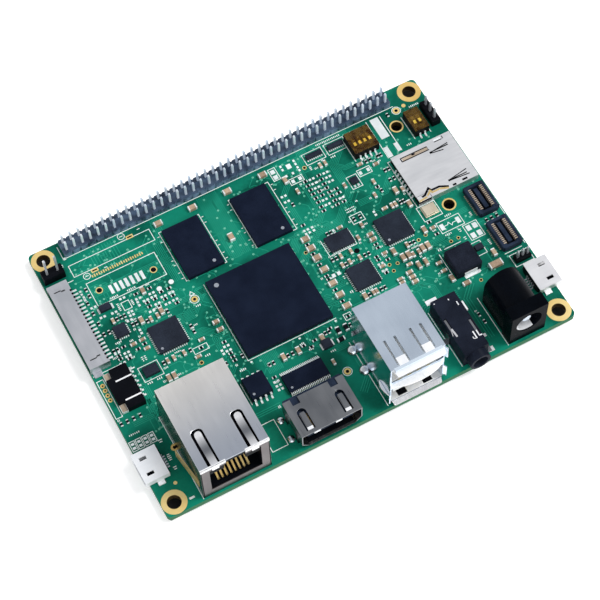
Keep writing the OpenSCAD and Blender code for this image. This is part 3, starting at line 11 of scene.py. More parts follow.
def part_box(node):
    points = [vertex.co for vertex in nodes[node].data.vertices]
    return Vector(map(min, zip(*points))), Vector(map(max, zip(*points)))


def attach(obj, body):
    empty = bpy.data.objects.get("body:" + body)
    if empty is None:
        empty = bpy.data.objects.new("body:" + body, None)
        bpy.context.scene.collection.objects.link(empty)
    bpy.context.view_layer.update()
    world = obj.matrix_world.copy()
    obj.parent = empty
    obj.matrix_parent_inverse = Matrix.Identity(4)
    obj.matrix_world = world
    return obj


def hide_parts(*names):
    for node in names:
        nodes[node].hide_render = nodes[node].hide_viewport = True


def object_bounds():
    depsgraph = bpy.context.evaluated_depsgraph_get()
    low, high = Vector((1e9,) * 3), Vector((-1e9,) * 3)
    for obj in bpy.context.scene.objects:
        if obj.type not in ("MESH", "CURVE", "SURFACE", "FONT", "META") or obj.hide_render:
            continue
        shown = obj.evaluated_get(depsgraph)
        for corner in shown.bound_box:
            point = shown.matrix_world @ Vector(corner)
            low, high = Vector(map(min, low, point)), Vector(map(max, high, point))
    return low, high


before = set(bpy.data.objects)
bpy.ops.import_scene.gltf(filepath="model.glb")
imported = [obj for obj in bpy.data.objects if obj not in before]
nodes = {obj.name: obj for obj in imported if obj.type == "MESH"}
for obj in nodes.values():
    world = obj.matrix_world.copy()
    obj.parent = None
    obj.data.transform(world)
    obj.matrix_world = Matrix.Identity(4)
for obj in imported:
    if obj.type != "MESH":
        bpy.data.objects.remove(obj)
cad_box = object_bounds()

MM = 0.001
CORNER, FAR_CORNER = (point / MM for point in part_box("circuit_board"))
DEPTH = FAR_CORNER.y - CORNER.y
TOP = FAR_CORNER.z

# How thick the layers on the board and on the sockets are, and the sockets' sheet
FILM, EYE, INK, GILDING, PAD, FOOT = 0.015, 0.02, 0.025, 0.03, 0.04, 0.05
SLIT, SHEET = 0.02, 0.25
SIDES = (-1, 1)


def spot(x, y, z=0.0):
    """A place in millimetres: x and y from the board's front left corner, z from its underside."""
    return Vector((CORNER.x + x, CORNER.y + y, z))


def tone(red, green, blue):
    """A colour written from 0 to 255 on the screen's scale, as a shader takes it."""
    def linear(level):
        level /= 255
        return level / 12.92 if level <= 0.04045 else ((level + 0.055) / 1.055) ** 2.4
    return (linear(red), linear(green), linear(blue), 1.0)


# Finishes

class Signal:
    """One shader socket, with arithmetic that adds Math nodes."""

    def __init__(self, work, socket):
        self.work, self.socket = work, socket

    def sum(self, operation, *values):
        return self.work.node("ShaderNodeMath", {"operation": operation}, dict(enumerate(values)))

    def __add__(self, other):
        return self.sum("ADD", self, other)

    __radd__ = __add__

    def __sub__(self, other):
        return self.sum("SUBTRACT", self, other)

    def __rsub__(self, other):
        return self.sum("SUBTRACT", other, self)

    def __mul__(self, other):
        return self.sum("MULTIPLY", self, other)

    __rmul__ = __mul__

    def __gt__(self, level):
        return self.sum("GREATER_THAN", self, level)

    def __lt__(self, level):
        return self.sum("LESS_THAN", self, level)

    def __abs__(self):
        return self.sum("ABSOLUTE", self)

    def ramp(self, low, high):
        """0 up to low, 1 from high, and a soft step between."""
        return self.work.node("ShaderNodeMapRange", {"interpolation_type": "SMOOTHSTEP"},
                              {"Value": self, "From Min": low, "From Max": high})


class Work:
    """A node tree, and the one way that nodes are added to it."""

    def __init__(self, tree):
        self.tree = tree

    def node(self, kind, settings=None, sockets=None, output=0):
        made = self.tree.nodes.new(kind)
        for key, value in (settings or {}).items():
            setattr(made, key, value)
        for key, value in (sockets or {}).items():
            self.feed(made.inputs[key], value)
        return Signal(self, made.outputs[output])

    def feed(self, socket, value):
        if isinstance(value, Signal):
            self.tree.links.new(value.socket, socket)
        else:
            socket.default_value = value

    def mix(self, share, first, second):
        return self.node("ShaderNodeMix", {"data_type": "RGBA"}, {0: share, 6: first, 7: second}, 2)

    def part(self, vector, axis):
        """One part of a vector: 0 for x, 1 for y, 2 for z."""
        return self.node("ShaderNodeSeparateXYZ", None, {"Vector": vector}, axis)

    def ray(self, *kinds):
        """1 where the ray is one of these kinds."""
        found = [self.node("ShaderNodeLightPath", output=f"Is {kind} Ray") for kind in kinds]
        while len(found) > 1:
            found.append(found[0].sum("MAXIMUM", found.pop(), found.pop()))
        return found[0]


class Finish(Work):
    """A material whose shader is fed by nodes on object coordinates."""

    def __init__(self, name, **plain):
        self.material = bpy.data.materials.new(name)
        self.material.use_nodes = True
        super().__init__(self.material.node_tree)
        self.shader = self.tree.nodes["Principled BSDF"]
        self.set(**plain)

    def place(self):
        return self.node("ShaderNodeTexCoord", output="Object")

    def noise(self, per_metre, detail=2.0, stretch=None):
        where = self.place()
        if stretch:
            where = self.node("ShaderNodeMapping", None, {"Vector": where, "Scale": stretch})
        return self.node("ShaderNodeTexNoise", None,
                         {"Vector": where, "Scale": per_metre, "Detail": detail})

    def cells(self, per_metre):
        return self.node("ShaderNodeTexVoronoi", None, {"Vector": self.place(), "Scale": per_metre})

    def facing(self, axis):
        """One part of the surface's own direction."""
        return self.part(self.node("ShaderNodeNewGeometry", output="Normal"), axis)

    def set(self, **sockets):
        for key, value in sockets.items():
            self.feed(self.shader.inputs[key.replace("_", " ")], value)
        return self

    def relief(self, height, strength, depth=0.02 * MM):
        return self.set(Normal=self.node("ShaderNodeBump", None,
                                         {"Height": height, "Strength": strength, "Distance": depth}))


def plated(name, pale, deep, rough, grain=(1, 1, 1), pattern=900, metal=1.0, painted_shade_band=None):
    """Sheet or pin metal: cloudy plating with a fine grain drawn out along the stock.

    A painted shade darkens it about one line across the board: y of the line, its reach, and its tone."""
    finish = Finish(name, Metallic=metal)
    drawn = 0.2
    streak = finish.noise(pattern, 3, grain)
    cloud = finish.noise(110)
    share = (cloud + streak * drawn - drawn / 2).ramp(0.25, 0.75)
    colour = finish.mix(share, tone(*deep), tone(*pale))
    if painted_shade_band:
        y, reach, dull = painted_shade_band
        off = abs(finish.part(finish.place(), 1) - spot(0, y).y * MM)
        colour = finish.mix(off.ramp(0, reach * MM), tone(*dull), colour)
    finish.set(Base_Color=colour, Roughness=streak * 0.16 + (rough - 0.08))
    return finish.relief(streak, 0.05)


def moulded(name, pale, deep, rough, coat=0.0, speck=5000, worn=0.0, shine=0.04, painted_top_shade=0.0):
    """Moulded plastic or epoxy: fine speckle, soft clouding and a dull edge to the gloss.

    The last argument is how far its level faces are held to the deeper tone: painted shade on the tops,
    which leaves the sides lighter."""
    finish = Finish(name, Coat_Weight=coat, Coat_Roughness=0.12, Specular_IOR_Level=shine)
    grain = finish.noise(speck)
    cloud = finish.noise(220, 3)
    share = (cloud * 0.6 + grain * 0.4).ramp(0.3, 0.7) * (1 - abs(finish.facing(2)) * painted_top_shade)
    finish.set(Base_Color=finish.mix(share, tone(*deep), tone(*pale)),
               Roughness=cloud * 0.14 + grain * 0.06 + (rough - 0.1))
    return finish.relief(grain, 0.15 + worn)


def solder_mask(name, pale, deep):
    """Lacquer over copper: pour shapes show through, the sawn edge shows the glass laminate."""
    finish = Finish(name, Specular_IOR_Level=0.08)
    pour = finish.cells(95).ramp(0.35, 0.6)
    weave = finish.noise(1400)
    cloud = finish.noise(70, 3)
    share = (cloud * 0.8 + pour * 0.25 + weave * 0.2 - 0.15).ramp(0.2, 0.8)
    face = finish.mix(share, tone(*deep), tone(*pale))
    level = abs(finish.facing(2))
    layer = finish.part(finish.place(), 2)
    lower, upper = ((layer > low * MM) * (layer < high * MM) for low, high in ((0.45, 0.6), (1.05, 1.2)))
    glass = finish.noise(2600, stretch=(1, 1, 6)).ramp(0.3, 0.7)
    laminate = finish.mix(glass, tone(34, 102, 74), tone(70, 126, 92))
    sawn = finish.mix((lower + upper) * 0.35, laminate, tone(112, 94, 62))
    finish.set(Base_Color=finish.mix(level.ramp(0.3, 0.6), sawn, face),
               Roughness=0.34 + cloud * 0.12 + (1 - level) * 0.25)
    return finish.relief(weave * 0.4 + pour, 0.1)


def printed(name, pale, deep):
    """Screen printed ink, slightly broken at its edges."""
    finish = Finish(name, Specular_IOR_Level=0.3)
    grain = finish.noise(7000)
    return finish.set(Base_Color=finish.mix(grain.ramp(0.25, 0.6), tone(*deep), tone(*pale)),
                      Roughness=grain * 0.2 + 0.5)


def sealing_film(name, pale, deep):
    """Thin amber film, a little wavy, that lets what is under it show."""
    finish = Finish(name, Alpha=0.16, Coat_Weight=0.1, Coat_Roughness=0.2)
    wave = finish.noise(700)
    finish.set(Base_Color=finish.mix(wave.ramp(0.35, 0.65), tone(*deep), tone(*pale)),
               Roughness=wave * 0.15 + 0.2)
    return finish.relief(wave, 0.2, 0.05 * MM)


ROLLED = 1400
UPRIGHT = (1, 1, 0.2)
mask = solder_mask("solder_mask", (14, 132, 107), (0, 86, 69))
traced = solder_mask("mask_over_copper", (44, 160, 132), (20, 136, 110))
eye_mask = solder_mask("mask_over_eyes", (128, 206, 180), (96, 186, 158))
ink = printed("white_ink", (242, 248, 246), (214, 226, 222))
dot_ink = printed("grey_mark", (150, 156, 166), (120, 126, 136))
gold = plated("gold_plate", (238, 214, 146), (222, 188, 110), 0.4, metal=0.4)
# A darkened copy of the gold for the sleeves inside the holes: painted shade.
shaded_gold = plated("hole_plating_painted_shade", (84, 66, 34), (48, 36, 18), 0.5, metal=0.3)
tin = plated("tinned_pad", (246, 250, 250), (218, 226, 226), 0.42, metal=0.3)
solder = plated("solder", (198, 202, 206), (168, 172, 178), 0.16)
pin_tin = plated("pin_tin", (240, 248, 255), (210, 226, 246), 0.24, UPRIGHT, metal=0.2)
dull_tin = plated("dull_tin", (222, 225, 229), (168, 174, 182), 0.24, UPRIGHT, metal=0.6)
# The can's top is painted darker towards its front, and each finger darker about its middle: painted
# shade.
warm_steel = plated("network_shield", (254, 250, 243), (240, 236, 229), 0.3, (1, 0.12, 1), ROLLED,
                    painted_shade_band=(0.5, 26, (176, 182, 192)))
finger_steel = plated("network_fingers", (252, 252, 252), (240, 241, 243), 0.2, (1, 0.2, 1), ROLLED,
                      painted_shade_band=(4.6, 4.2, (128, 131, 136)))
spring_steel = plated("spring_steel", (242, 242, 243), (222, 223, 226), 0.2, (1, 0.2, 1), ROLLED)
# A darker, greener copy of the can's steel for its side walls: painted shade, and painted reflection of
# the board.
shaded_wall_steel = plated("network_sides_painted_shade", (92, 106, 103), (66, 80, 77), 0.24, (1, 0.2, 1), ROLLED)
# A darker copy of the can's steel for its front face: painted shade.
shaded_mouth_steel = plated("network_mouth_painted_shade", (118, 111, 111), (90, 85, 87), 0.32, (0.2, 1, 1), ROLLED)
dark_steel = plated("video_shell", (138, 140, 143), (114, 117, 121), 0.3, (1, 0.15, 1), ROLLED)
blue_steel = plated("double_socket_shell", (220, 233, 246), (204, 217, 231), 0.16, (1, 0.12, 1), ROLLED)
pale_steel = plated("card_shell", (230, 230, 231), (214, 215, 217), 0.38, (0.15, 1, 1), ROLLED, 0.9)
# A lighter, less metallic copy of the shell steel for the left socket, which the network can shades:
# painted light.
lit_micro_steel = plated("micro_shell", (250, 252, 254), (236, 240, 244), 0.34, (0.15, 1, 1), ROLLED, 0.3)
rose_steel = plated("display_shell", (214, 215, 219), (193, 196, 201), 0.34, (1, 0.12, 1), ROLLED)
# Near-white, nearly unmetallic steel for lips, tabs, terminals and a bore liner: real parts, drawn
# whiter as painted highlight.
silver_highlight_steel = plated("silver_and_painted_highlight", (250, 250, 250), (236, 239, 242), 0.3, (1, 0.2, 1), ROLLED, 0.2)
gilt_steel = plated("gilt_spring", (232, 208, 150), (204, 176, 116), 0.3, (1, 0.2, 1), ROLLED, 0.5)
lid_metal = plated("crystal_lid", (226, 216, 196), (200, 188, 164), 0.36, (1, 0.2, 1), ROLLED, 0.6)
epoxy = moulded("chip_epoxy", (23, 31, 49), (13, 20, 36), 0.5)
epoxy_grey = moulded("chip_epoxy_grey", (42, 49, 62), (26, 31, 42), 0.46, shine=0.1)
# The header's plastic is held dark on its level faces and lighter on its sides: painted shade and
# painted light.
slate = moulded("header_plastic", (122, 148, 178), (8, 28, 50), 0.3, speck=900, shine=0.35,
                painted_top_shade=0.72)
black = moulded("black_plastic", (14, 16, 22), (6, 7, 11), 0.42)
gloss = moulded("gloss_black", (9, 13, 20), (4, 6, 10), 0.26, 0.03, 3000, shine=0.01)
jack_plastic = moulded("jack_plastic", (32, 37, 50), (17, 21, 31), 0.45)
white = moulded("white_plastic", (246, 247, 246), (230, 232, 230), 0.44, shine=0.4)
switch_dark = moulded("switch_plastic", (26, 24, 26), (12, 11, 14), 0.45)
yellow = moulded("slider_plastic", (255, 230, 92), (255, 212, 62), 0.4, shine=0.6)
clay = moulded("connector_plastic", (46, 58, 78), (24, 32, 46), 0.45)
comb_beige = moulded("comb_beige", (186, 170, 150), (150, 134, 116), 0.4, shine=0.3)
ferrite = moulded("pressed_ferrite", (36, 41, 54), (20, 24, 34), 0.55, speck=3200, worn=0.3)
ceramic = moulded("cap_ceramic", (192, 168, 142), (142, 118, 98), 0.45, shine=0.3)
carbon = moulded("resistor_film", (22, 24, 32), (10, 11, 16), 0.4)
amber = sealing_film("amber_film", (200, 156, 66), (120, 76, 8))


# Shapes

def bevel(bm, geom, offset, steps, affect="EDGES"):
    """Breaks edges, or rounds corners where affect is VERTICES."""
    bmesh.ops.bevel(bm, geom=geom, offset=offset, offset_type="OFFSET", affect=affect, segments=steps,
                    profile=0.5, material=-1, clamp_overlap=True)


def points_of(geom):
    """The vertices among what an operator made."""
    return [v for v in geom if isinstance(v, bmesh.types.BMVert)]


class Stock:
    """One piece in the making, in millimetres. Each shape is made by itself and then added."""

    def __init__(self):
        self.whole = bmesh.new()
        self.carrier = bpy.data.meshes.new("carrier")
        self.bm = bmesh.new()

    def add(self):
        self.bm.to_mesh(self.carrier)
        self.whole.from_mesh(self.carrier, face_normals=False, vertex_normals=False)
        self.bm.clear()
        return self

    def loop(self, points):
        """A closed line through the points: its vertices and its edges."""
        verts = [self.bm.verts.new(point) for point in points]
        return verts, [self.bm.edges.new((verts[i - 1], verts[i])) for i in range(len(verts))]

    def slab(self, x, y, z, w, d, h, turn=0, ease=0.0, taper=1.0):
        """A block that stands on height z, its middle at x and y."""
        put = Matrix.Translation(spot(x, y, z)) @ Matrix.Rotation(radians(turn), 4, "Z")
        lift = put @ Matrix.Diagonal((w, d, h, 1)) @ Matrix.Translation((0, 0, 0.5))
        made = bmesh.ops.create_cube(self.bm, size=1, matrix=lift)["verts"]
        if taper != 1:
            upper = [v for v in made if v.co.z > z + h / 2]
            bmesh.ops.scale(self.bm, verts=upper, vec=(taper, taper, 1), space=put.inverted())
        if ease:
            bevel(self.bm, list({edge for v in made for edge in v.link_edges}), ease, 1)
        return self.add()

    def disc(self, x, y, z, r, h, sides=16, top=None):
        """A round or tapered plug that stands on height z."""
        bmesh.ops.create_cone(self.bm, cap_ends=True, segments=sides, radius1=r,
                              radius2=r if top is None else top, depth=h,
                              matrix=Matrix.Translation(spot(x, y, z + h / 2)))
        return self.add()

    def dome(self, x, y, z, r, h):
        """A round cap of solder that stands on height z."""
        put = Matrix.Translation(spot(x, y, z)) @ Matrix.Diagonal((r, r, h, 1))
        bmesh.ops.create_uvsphere(self.bm, u_segments=20, v_segments=12, radius=1, matrix=put)
        geom = self.bm.verts[:] + self.bm.edges[:] + self.bm.faces[:]
        cut = bmesh.ops.bisect_plane(self.bm, geom=geom, plane_co=spot(x, y, z), plane_no=(0, 0, -1),
                                     clear_outer=True)["geom_cut"]
        bmesh.ops.contextual_create(self.bm, geom=[e for e in cut if isinstance(e, bmesh.types.BMEdge)])
        return self.add()

    def ring(self, x, y, z, outer, inner, h, sides=20):
        """A flat washer or a sleeve, spun from its section."""
        section = [(inner, z), (outer, z), (outer, z + h), (inner, z + h)]
        verts, edges = self.loop(spot(x + r, y, level) for r, level in section)
        bmesh.ops.spin(self.bm, geom=verts + edges, cent=spot(x, y), axis=(0, 0, 1), angle=2 * pi,
                       steps=sides, use_merge=True)
        return self.add()

    def ribbon(self, points, width, z, h=INK, closed=False, shift=0.0):
        """A flat line through the points, with mitred turns, moved sideways by shift."""
        mitre_limit = 0.35
        places = [spot(x, y).xy for x, y in points]
        ends = len(places)
        first = last = None
        for i, place in enumerate(places):
            before = (place - places[i - 1]).normalized() if i or closed else None
            after = (places[(i + 1) % ends] - place).normalized() if i + 1 < ends or closed else None
            before, after = before or after, after or before
            side = (before + after).orthogonal().normalized()
            reach = max(mitre_limit, side.dot(before.orthogonal()))
            near, far = (place + side * (shift + s * width / 2) / reach for s in SIDES)
            section = [(*near, z), (*far, z), (*far, z + h), (*near, z + h)]
            if first is None:
                first = last = self.loop(section)[0]
                continue
            edges = [self.bm.edges.get((last[k - 1], last[k])) for k in range(4)]
            new = set(points_of(bmesh.ops.extrude_edge_only(self.bm, edges=edges)["geom"]))
            last = [next(e.other_vert(v) for e in v.link_edges if e.other_vert(v) in new) for v in last]
            for v, corner in zip(last, section):
                v.co = corner
        rims = [[self.bm.edges.get((rim[k - 1], rim[k])) for k in range(4)] for rim in (first, last)]
        if closed:
            bmesh.ops.bridge_loops(self.bm, edges=rims[0] + rims[1])
        else:
            for rim in rims:
                bmesh.ops.contextual_create(self.bm, geom=rim)
        return self.add()

    def plate(self, outline, h, place, soft=None, ease=0.0):
        """A sheet cut to an outline and raised by h; soft gives the radius of its rounded corners."""
        verts, edges = self.loop((u, v, 0) for u, v in outline)
        bmesh.ops.contextual_create(self.bm, geom=edges)
        for corner, radius in (soft or {}).items():
            bevel(self.bm, [verts[corner]], radius, 4, "VERTICES")
        upper = set(points_of(bmesh.ops.extrude_face_region(self.bm, geom=self.bm.faces[:])["geom"]))
        bmesh.ops.translate(self.bm, verts=list(upper), vec=(0, 0, h))
        if ease:
            bevel(self.bm, [e for e in self.bm.edges if upper.issuperset(e.verts)], ease, 2)
        bmesh.ops.transform(self.bm, matrix=place, verts=self.bm.verts)
        return self.add()

    def strip(self, path, width, thick, place, tip):
        """A bent leaf of sheet: path runs from its held end to its round free one, along y and up z."""
        verts = [self.bm.verts.new((-width / 2, along, up)) for along, up in path]
        edges = [self.bm.edges.new(pair) for pair in zip(verts, verts[1:])]
        across = points_of(bmesh.ops.extrude_edge_only(self.bm, edges=edges)["geom"])
        bmesh.ops.translate(self.bm, verts=across, vec=(width, 0, 0))
        free = [v for v in self.bm.verts if (v.co.yz - verts[-1].co.yz).length < 1e-6]
        bevel(self.bm, free, tip, 3, "VERTICES")
        bmesh.ops.recalc_face_normals(self.bm, faces=self.bm.faces)
        bmesh.ops.solidify(self.bm, geom=self.bm.faces[:], thickness=thick)
        bmesh.ops.transform(self.bm, matrix=place, verts=self.bm.verts)
        return self.add()

    def gutter(self, x, y, z, outer, inner, length, start, sweep):
        """Part of a sleeve that runs back from the front, from start degrees left of its lowest line."""
        section = [(inner, 0), (outer, 0), (outer, length), (inner, length)]
        turn = Matrix.Translation(spot(x, y, z)) @ Matrix.Rotation(radians(start), 4, "Y")
        verts, edges = self.loop(turn @ Vector((0, along, -r)) for r, along in section)
        face = bmesh.ops.contextual_create(self.bm, geom=edges)["faces"]
        bmesh.ops.spin(self.bm, geom=verts + edges + face, cent=spot(x, y, z), axis=(0, 1, 0),
                       angle=radians(sweep), steps=14)
        return self.add()

    def piece(self, name, finish, slot, stands_for=()):
        """Closes the work: a named object in metres that rides on the board."""
        self.bm.free()
        bpy.data.meshes.remove(self.carrier)
        bmesh.ops.recalc_face_normals(self.whole, faces=self.whole.faces)
        bmesh.ops.scale(self.whole, verts=self.whole.verts, vec=(MM, MM, MM))
        shown(self.whole, name, finish, stands_for)


def shown(bm, name, finish, stands_for):
    mesh = bpy.data.meshes.new(name)
    bm.to_mesh(mesh)
    bm.free()
    mesh.polygons.foreach_set("use_smooth", [True] * len(mesh.polygons))
    mesh.set_sharp_from_angle(angle=radians(20))
    mesh.materials.append(finish.material)
    made = bpy.data.objects.new(name, mesh)
    bpy.context.scene.collection.objects.link(made)
    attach(made, "board")
    if stands_for:
        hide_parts(*stands_for)


class Extent:
    """The box round a solid, and its middle, in millimetres as spot counts them."""

    def __init__(self, low, high):
        low, high = low / MM, high / MM
        self.size = high - low
        self.low, self.high = low - spot(0, 0), high - spot(0, 0)
        self.x, self.y, self.z = (self.low + self.high) / 2


def extent(node):
    return Extent(*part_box(node))


def merged(node):
    """A copy of a CAD node's mesh with its loose triangles joined."""
    bm = bmesh.new()
    bm.from_mesh(nodes[node].data)
    bmesh.ops.remove_doubles(bm, verts=bm.verts, dist=1e-7)
    return bm


def lumps(node, below=None):
    """The extents of a node's solids, or of what it has below a height."""
    bm = merged(node)
    if below is not None:
        bmesh.ops.bisect_plane(bm, geom=bm.verts[:] + bm.edges[:] + bm.faces[:], dist=1e-8,
                               plane_co=(0, 0, below * MM), plane_no=(0, 0, 1), clear_outer=True)
    left = set(bm.verts)
    found = []
    while left:
        ready = [left.pop()]
        group = []
        while ready:
            v = ready.pop()
            group.append(v.co.copy())
            for edge in v.link_edges:
                other = edge.other_vert(v)
                if other in left:
                    left.remove(other)
                    ready.append(other)
        low, high = (Vector([end(c[i] for c in group) for i in range(3)]) for end in (min, max))
        found.append(Extent(low, high))
    bm.free()
    return sorted(found, key=lambda lump: tuple(lump.low))


def eased(node, ease, finish):
    """A copy of a CAD node with its edges broken, which stands for the node."""
    flat, sharp = radians(1), radians(40)
    bm = merged(node)
    bmesh.ops.dissolve_limit(bm, angle_limit=flat, verts=bm.verts, edges=bm.edges)
    bevel(bm, [e for e in bm.edges if e.is_manifold and e.calc_face_angle() > sharp], ease * MM, 2)
    shown(bm, node + "_eased", finish, (node,))


def coat(finish, *names):
    """Gives CAD nodes that stay in view their finish."""
    for name in names:
        mesh = nodes[name].data
        mesh.materials.clear()
        mesh.materials.append(finish.material)


# The CAD nodes that stay in view

coat(mask, "circuit_board")
coat(gold, "plated_rings", "ethernet_contacts", "hdmi_contacts", "usb_contacts")
coat(dull_tin, "micro_usb_contacts")
coat(tin, "card_socket_contacts", "display_connector_contacts", "chip_leads", "switch_leads",
     "wire_connector_contacts")
coat(dark_steel, "audio_jack_contacts")
coat(comb_beige, "camera_connector_contacts")
coat(pin_tin, "power_jack_pin", "power_jack_terminals")
coat(black, "ethernet_housing", "ethernet_transformer", "micro_usb_insulators", "card_socket_base",
     "display_connector_housing")
coat(clay, "hdmi_insulator")
coat(white, "usb_insulator", "card_eject_slider")
coat(amber, "switch_films")
coat(yellow, *(f"switch_four_slider_{way}" for way in (1, 2, 3, 4)))
coat(yellow, *(f"switch_two_slider_{way}" for way in (1, 2)))
coat(blue_steel, "usb_shell")
coat(pale_steel, "card_socket_shell", "micro_usb_right_shell")
coat(lit_micro_steel, "micro_usb_left_shell")
coat(rose_steel, "display_connector_shell")

# Chips, blocks and plastic bodies with broken edges

for chip in ("processor", "memory_chip_left", "memory_chip_right", "storage_chip", "display_driver"):
    eased(chip, 0.08, epoxy)
for chip in ("network_chip", "sound_chip", "small_chips"):
    eased(chip, 0.05, epoxy_grey)
eased("crystal", 0.06, lid_metal)
eased("hdmi_shell", 0.08, dark_steel)
eased("audio_jack_body", 0.12, jack_plastic)
eased("power_jack_body", 0.2, gloss)
eased("switch_four_body", 0.06, switch_dark)
eased("switch_two_body", 0.06, switch_dark)
eased("camera_connector_bodies", 0.06, clay)
eased("small_header_bodies", 0.08, black)
eased("wire_connector_body", 0.06, black)


# Header: a strip of chamfered cells, and pins with pyramid ends

def header_strip():
    body = extent("expansion_header_body")
    places = sorted({round(pin.x, 2) for pin in lumps("expansion_header_pins")})
    pitch, chamfer = places[1] - places[0], 0.32
    strip = Stock()
    for x in places:
        strip.slab(x, body.y, body.low.z, pitch, body.size.y, body.size.z)
    upright = [e for e in strip.whole.edges if abs(e.verts[0].co.z - e.verts[1].co.z) > body.size.z / 2]
    bevel(strip.whole, upright, chamfer, 1)
    strip.piece("header_cells", slate, "header_plastic", ("expansion_header_body",))


def pin_set(name, node, finish):
    tip, blunt = 0.35, 0.5
    pins = Stock()
    for pin in lumps(node):
        side = pin.size.x
        pins.slab(pin.x, pin.y, pin.low.z + tip, side, side, pin.size.z - 2 * tip)
        pins.slab(pin.x, pin.y, pin.high.z - tip, side, side, tip, taper=blunt)
        pins.slab(pin.x, pin.y, pin.low.z, side * blunt, side * blunt, tip, taper=1 / blunt)
    pins.piece(name, finish, "pin_metal", (node,))


header_strip()
pin_set("header_pins_pointed", "expansion_header_pins", pin_tin)
pin_set("small_pins_pointed", "small_header_pins", dull_tin)


# Formed sheet: the network jack's can, and the springs, lips and slots of the sockets

# Stocks by finish: near-white lips, tabs and terminals, partly painted highlight; springs; gilt leaves;
# tan tabs; black slits, windows and cavity floors, which are painted shade.
bright, springs, gilt, tan, dark = (Stock() for _ in range(5))


def lay(x, y, z, tilt=0):
    """A place above the board for a sheet, turned up about its own front line; 90 stands it upright."""
    return Matrix.Translation(spot(x, y, TOP + z)) @ Matrix.Rotation(radians(tilt), 4, "X")


def blocks(stock, *lines):
    """Adds plain blocks: x, y, height above the board, width, depth and height."""
    for x, y, z, *size in lines:
        stock.slab(x, y, TOP + z, *size)


def network_can():
    jack = extent("ethernet_shield")
    x, y, depth, roof = jack.x, jack.low.y, jack.size.y, jack.high.z - TOP - SHEET
    # Half its width, the slots in the roof, then the mouth and the key way above it
    side, inner, outer, end = 8, 3.25, 5.95, 9.1
    sill, lintel, key_left, key_right = 2.4, 11.7, -2.1, 2.4
    can, fingers, walls = Stock(), Stock(), Stock()
    can.plate([(-side, 0), (-outer, 0), (-outer, end), (-inner, end), (-inner, 0), (inner, 0),
               (inner, end), (outer, end), (outer, 0), (side, 0), (side, depth), (-side, depth)],
              SHEET, lay(x, y, roof), {2: 1, 3: 1, 6: 1, 7: 1}, 0.08)
    mouth = [(-side, 0), (side, 0), (side, roof), (key_right, roof), (key_right, lintel),
             (outer, lintel), (outer, sill), (-outer, sill), (-outer, lintel), (key_left, lintel),
             (key_left, roof), (-side, roof)]
    front = Stock().plate(mouth, SHEET, lay(x, y + SHEET, 0, 90), ease=0.06)
    front.piece("network_can_mouth", shaded_mouth_steel, "shell_dark")
    blocks(can, (x, y + depth - SHEET / 2, 0, 2 * side, SHEET, roof))
    for leg in lumps("ethernet_shield", below=0):
        can.slab(leg.x, leg.y, leg.low.z, leg.size.x, leg.size.y, TOP - leg.low.z)
    leaf = [(-0.1, 1.8), (0.5, 6.2), (1.1, 10.4), (1.3, 10.4), (0.72, 6.2), (0.12, 1.8)]
    finger = [(-0.12, 11.75), (-0.12, 13.2), (0.05, 13.5), (0.4, 13.62), (2, 13.45), (4.5, 13),
              (6.6, 12.8), (7.8, 13), (8.6, 13.4)]
    for s in SIDES:
        blocks(walls, (x + s * (side - SHEET / 2), y + depth / 2, 0, SHEET, depth, roof))
        gilt.plate([(s * (side + out), along) for out, along in leaf], 3, lay(x, y, 2.5))
        fingers.strip(finger, 1.6, 0.2, lay(x + s * (inner + outer) / 2 + 0.12, y, 0), 0.7)
    fingers.piece("network_can_fingers", finger_steel, "shell_bright")
    walls.piece("network_can_sides", shaded_wall_steel, "shell_dark")
    # Near-white strips on the front face and roof at the can's top edge, either side of the key way:
    # painted highlight on the folded lip.
    for left, right in ((-side, key_left), (key_right, side)):
        middle, span = x + (left + right) / 2, right - left
        blocks(bright, (middle, y - 0.02, 12.6, span, 0.14, 0.95),
               (middle, y + 0.12, 13.48, span, 0.4, 0.07))
    can.piece("network_can", warm_steel, "shell_steel", ("ethernet_shield",))


def video_socket_trim():
    x, leaf = extent("hdmi_shell").x, 4.55
    # Near-white tabs in the mouth and at the leaves' front ends: real tabs, drawn whiter as painted
    # highlight.
    blocks(bright, (x - 3.4, 0.75, 4.4, 1.5, 0.2, 1.4), (x + 1.8, 0.75, 4.4, 1.5, 0.2, 1.4))
    leaves = Stock()
    for s in SIDES:
        blocks(bright, (x + s * leaf, 1.6, 5.98, 1.3, 0.7, 0.06))
        blocks(leaves, (x + s * leaf, 3.7, 5.86, 1, 4, 0.1))
    leaves.piece("video_socket_leaves", dark_steel, "shell_dark")
    # A black plate low in the mouth: painted shade.
    blocks(dark, (x, 3, 0.55, 12.4, 4, 0.1))


def double_socket_trim():
    x, y, ease = extent("usb_shell").x, 0.8, 0.06
    half = [(0, -1.75), (2.4, -1.6), (4.4, -1.2), (5.7, -0.6), (6.2, 0.1)]
    bow = [(-u, v) for u, v in half[:0:-1]] + half
    bright.plate(bow, SHEET, lay(x, y, 8.6, 8), ease=ease)
    edge = [(-6.1, 0.1), (6.1, 0.1), (5.8, -1.8), (-5.8, -1.8)]
    bright.plate(edge, SHEET, lay(x, y, 15.35, 4), {2: 0.4, 3: 0.4}, ease)
    springs.plate([(u, v * 0.65) for u, v in edge], SHEET, lay(x, y, 0.8, 30), {2: 0.3, 3: 0.3}, ease)
    # A near-white plate on the lower port's floor, with black windows on it further on: painted
    # highlight and painted shade.
    blocks(bright, (x, y + 1.7, 1.06, 12.5, 3.4, 0.03))
    bulge = [(0, 0), (0.55, 1), (0.8, 2.3), (0.55, 3.6), (0, 4.6)]
    for s in SIDES:
        blocks(bright, (x + s * 3.1, y + 1.2, 15.57, 2.2, 2.2, 0.06))
        blocks(dark, (x + s * 3.1, y + 1.8, 1.08, 2.2, 3, 0.03))
        springs.plate([(s * u, v) for u, v in bulge], 1.6, lay(x + s * 6.55, y + 0.3, 2), ease=0.2)


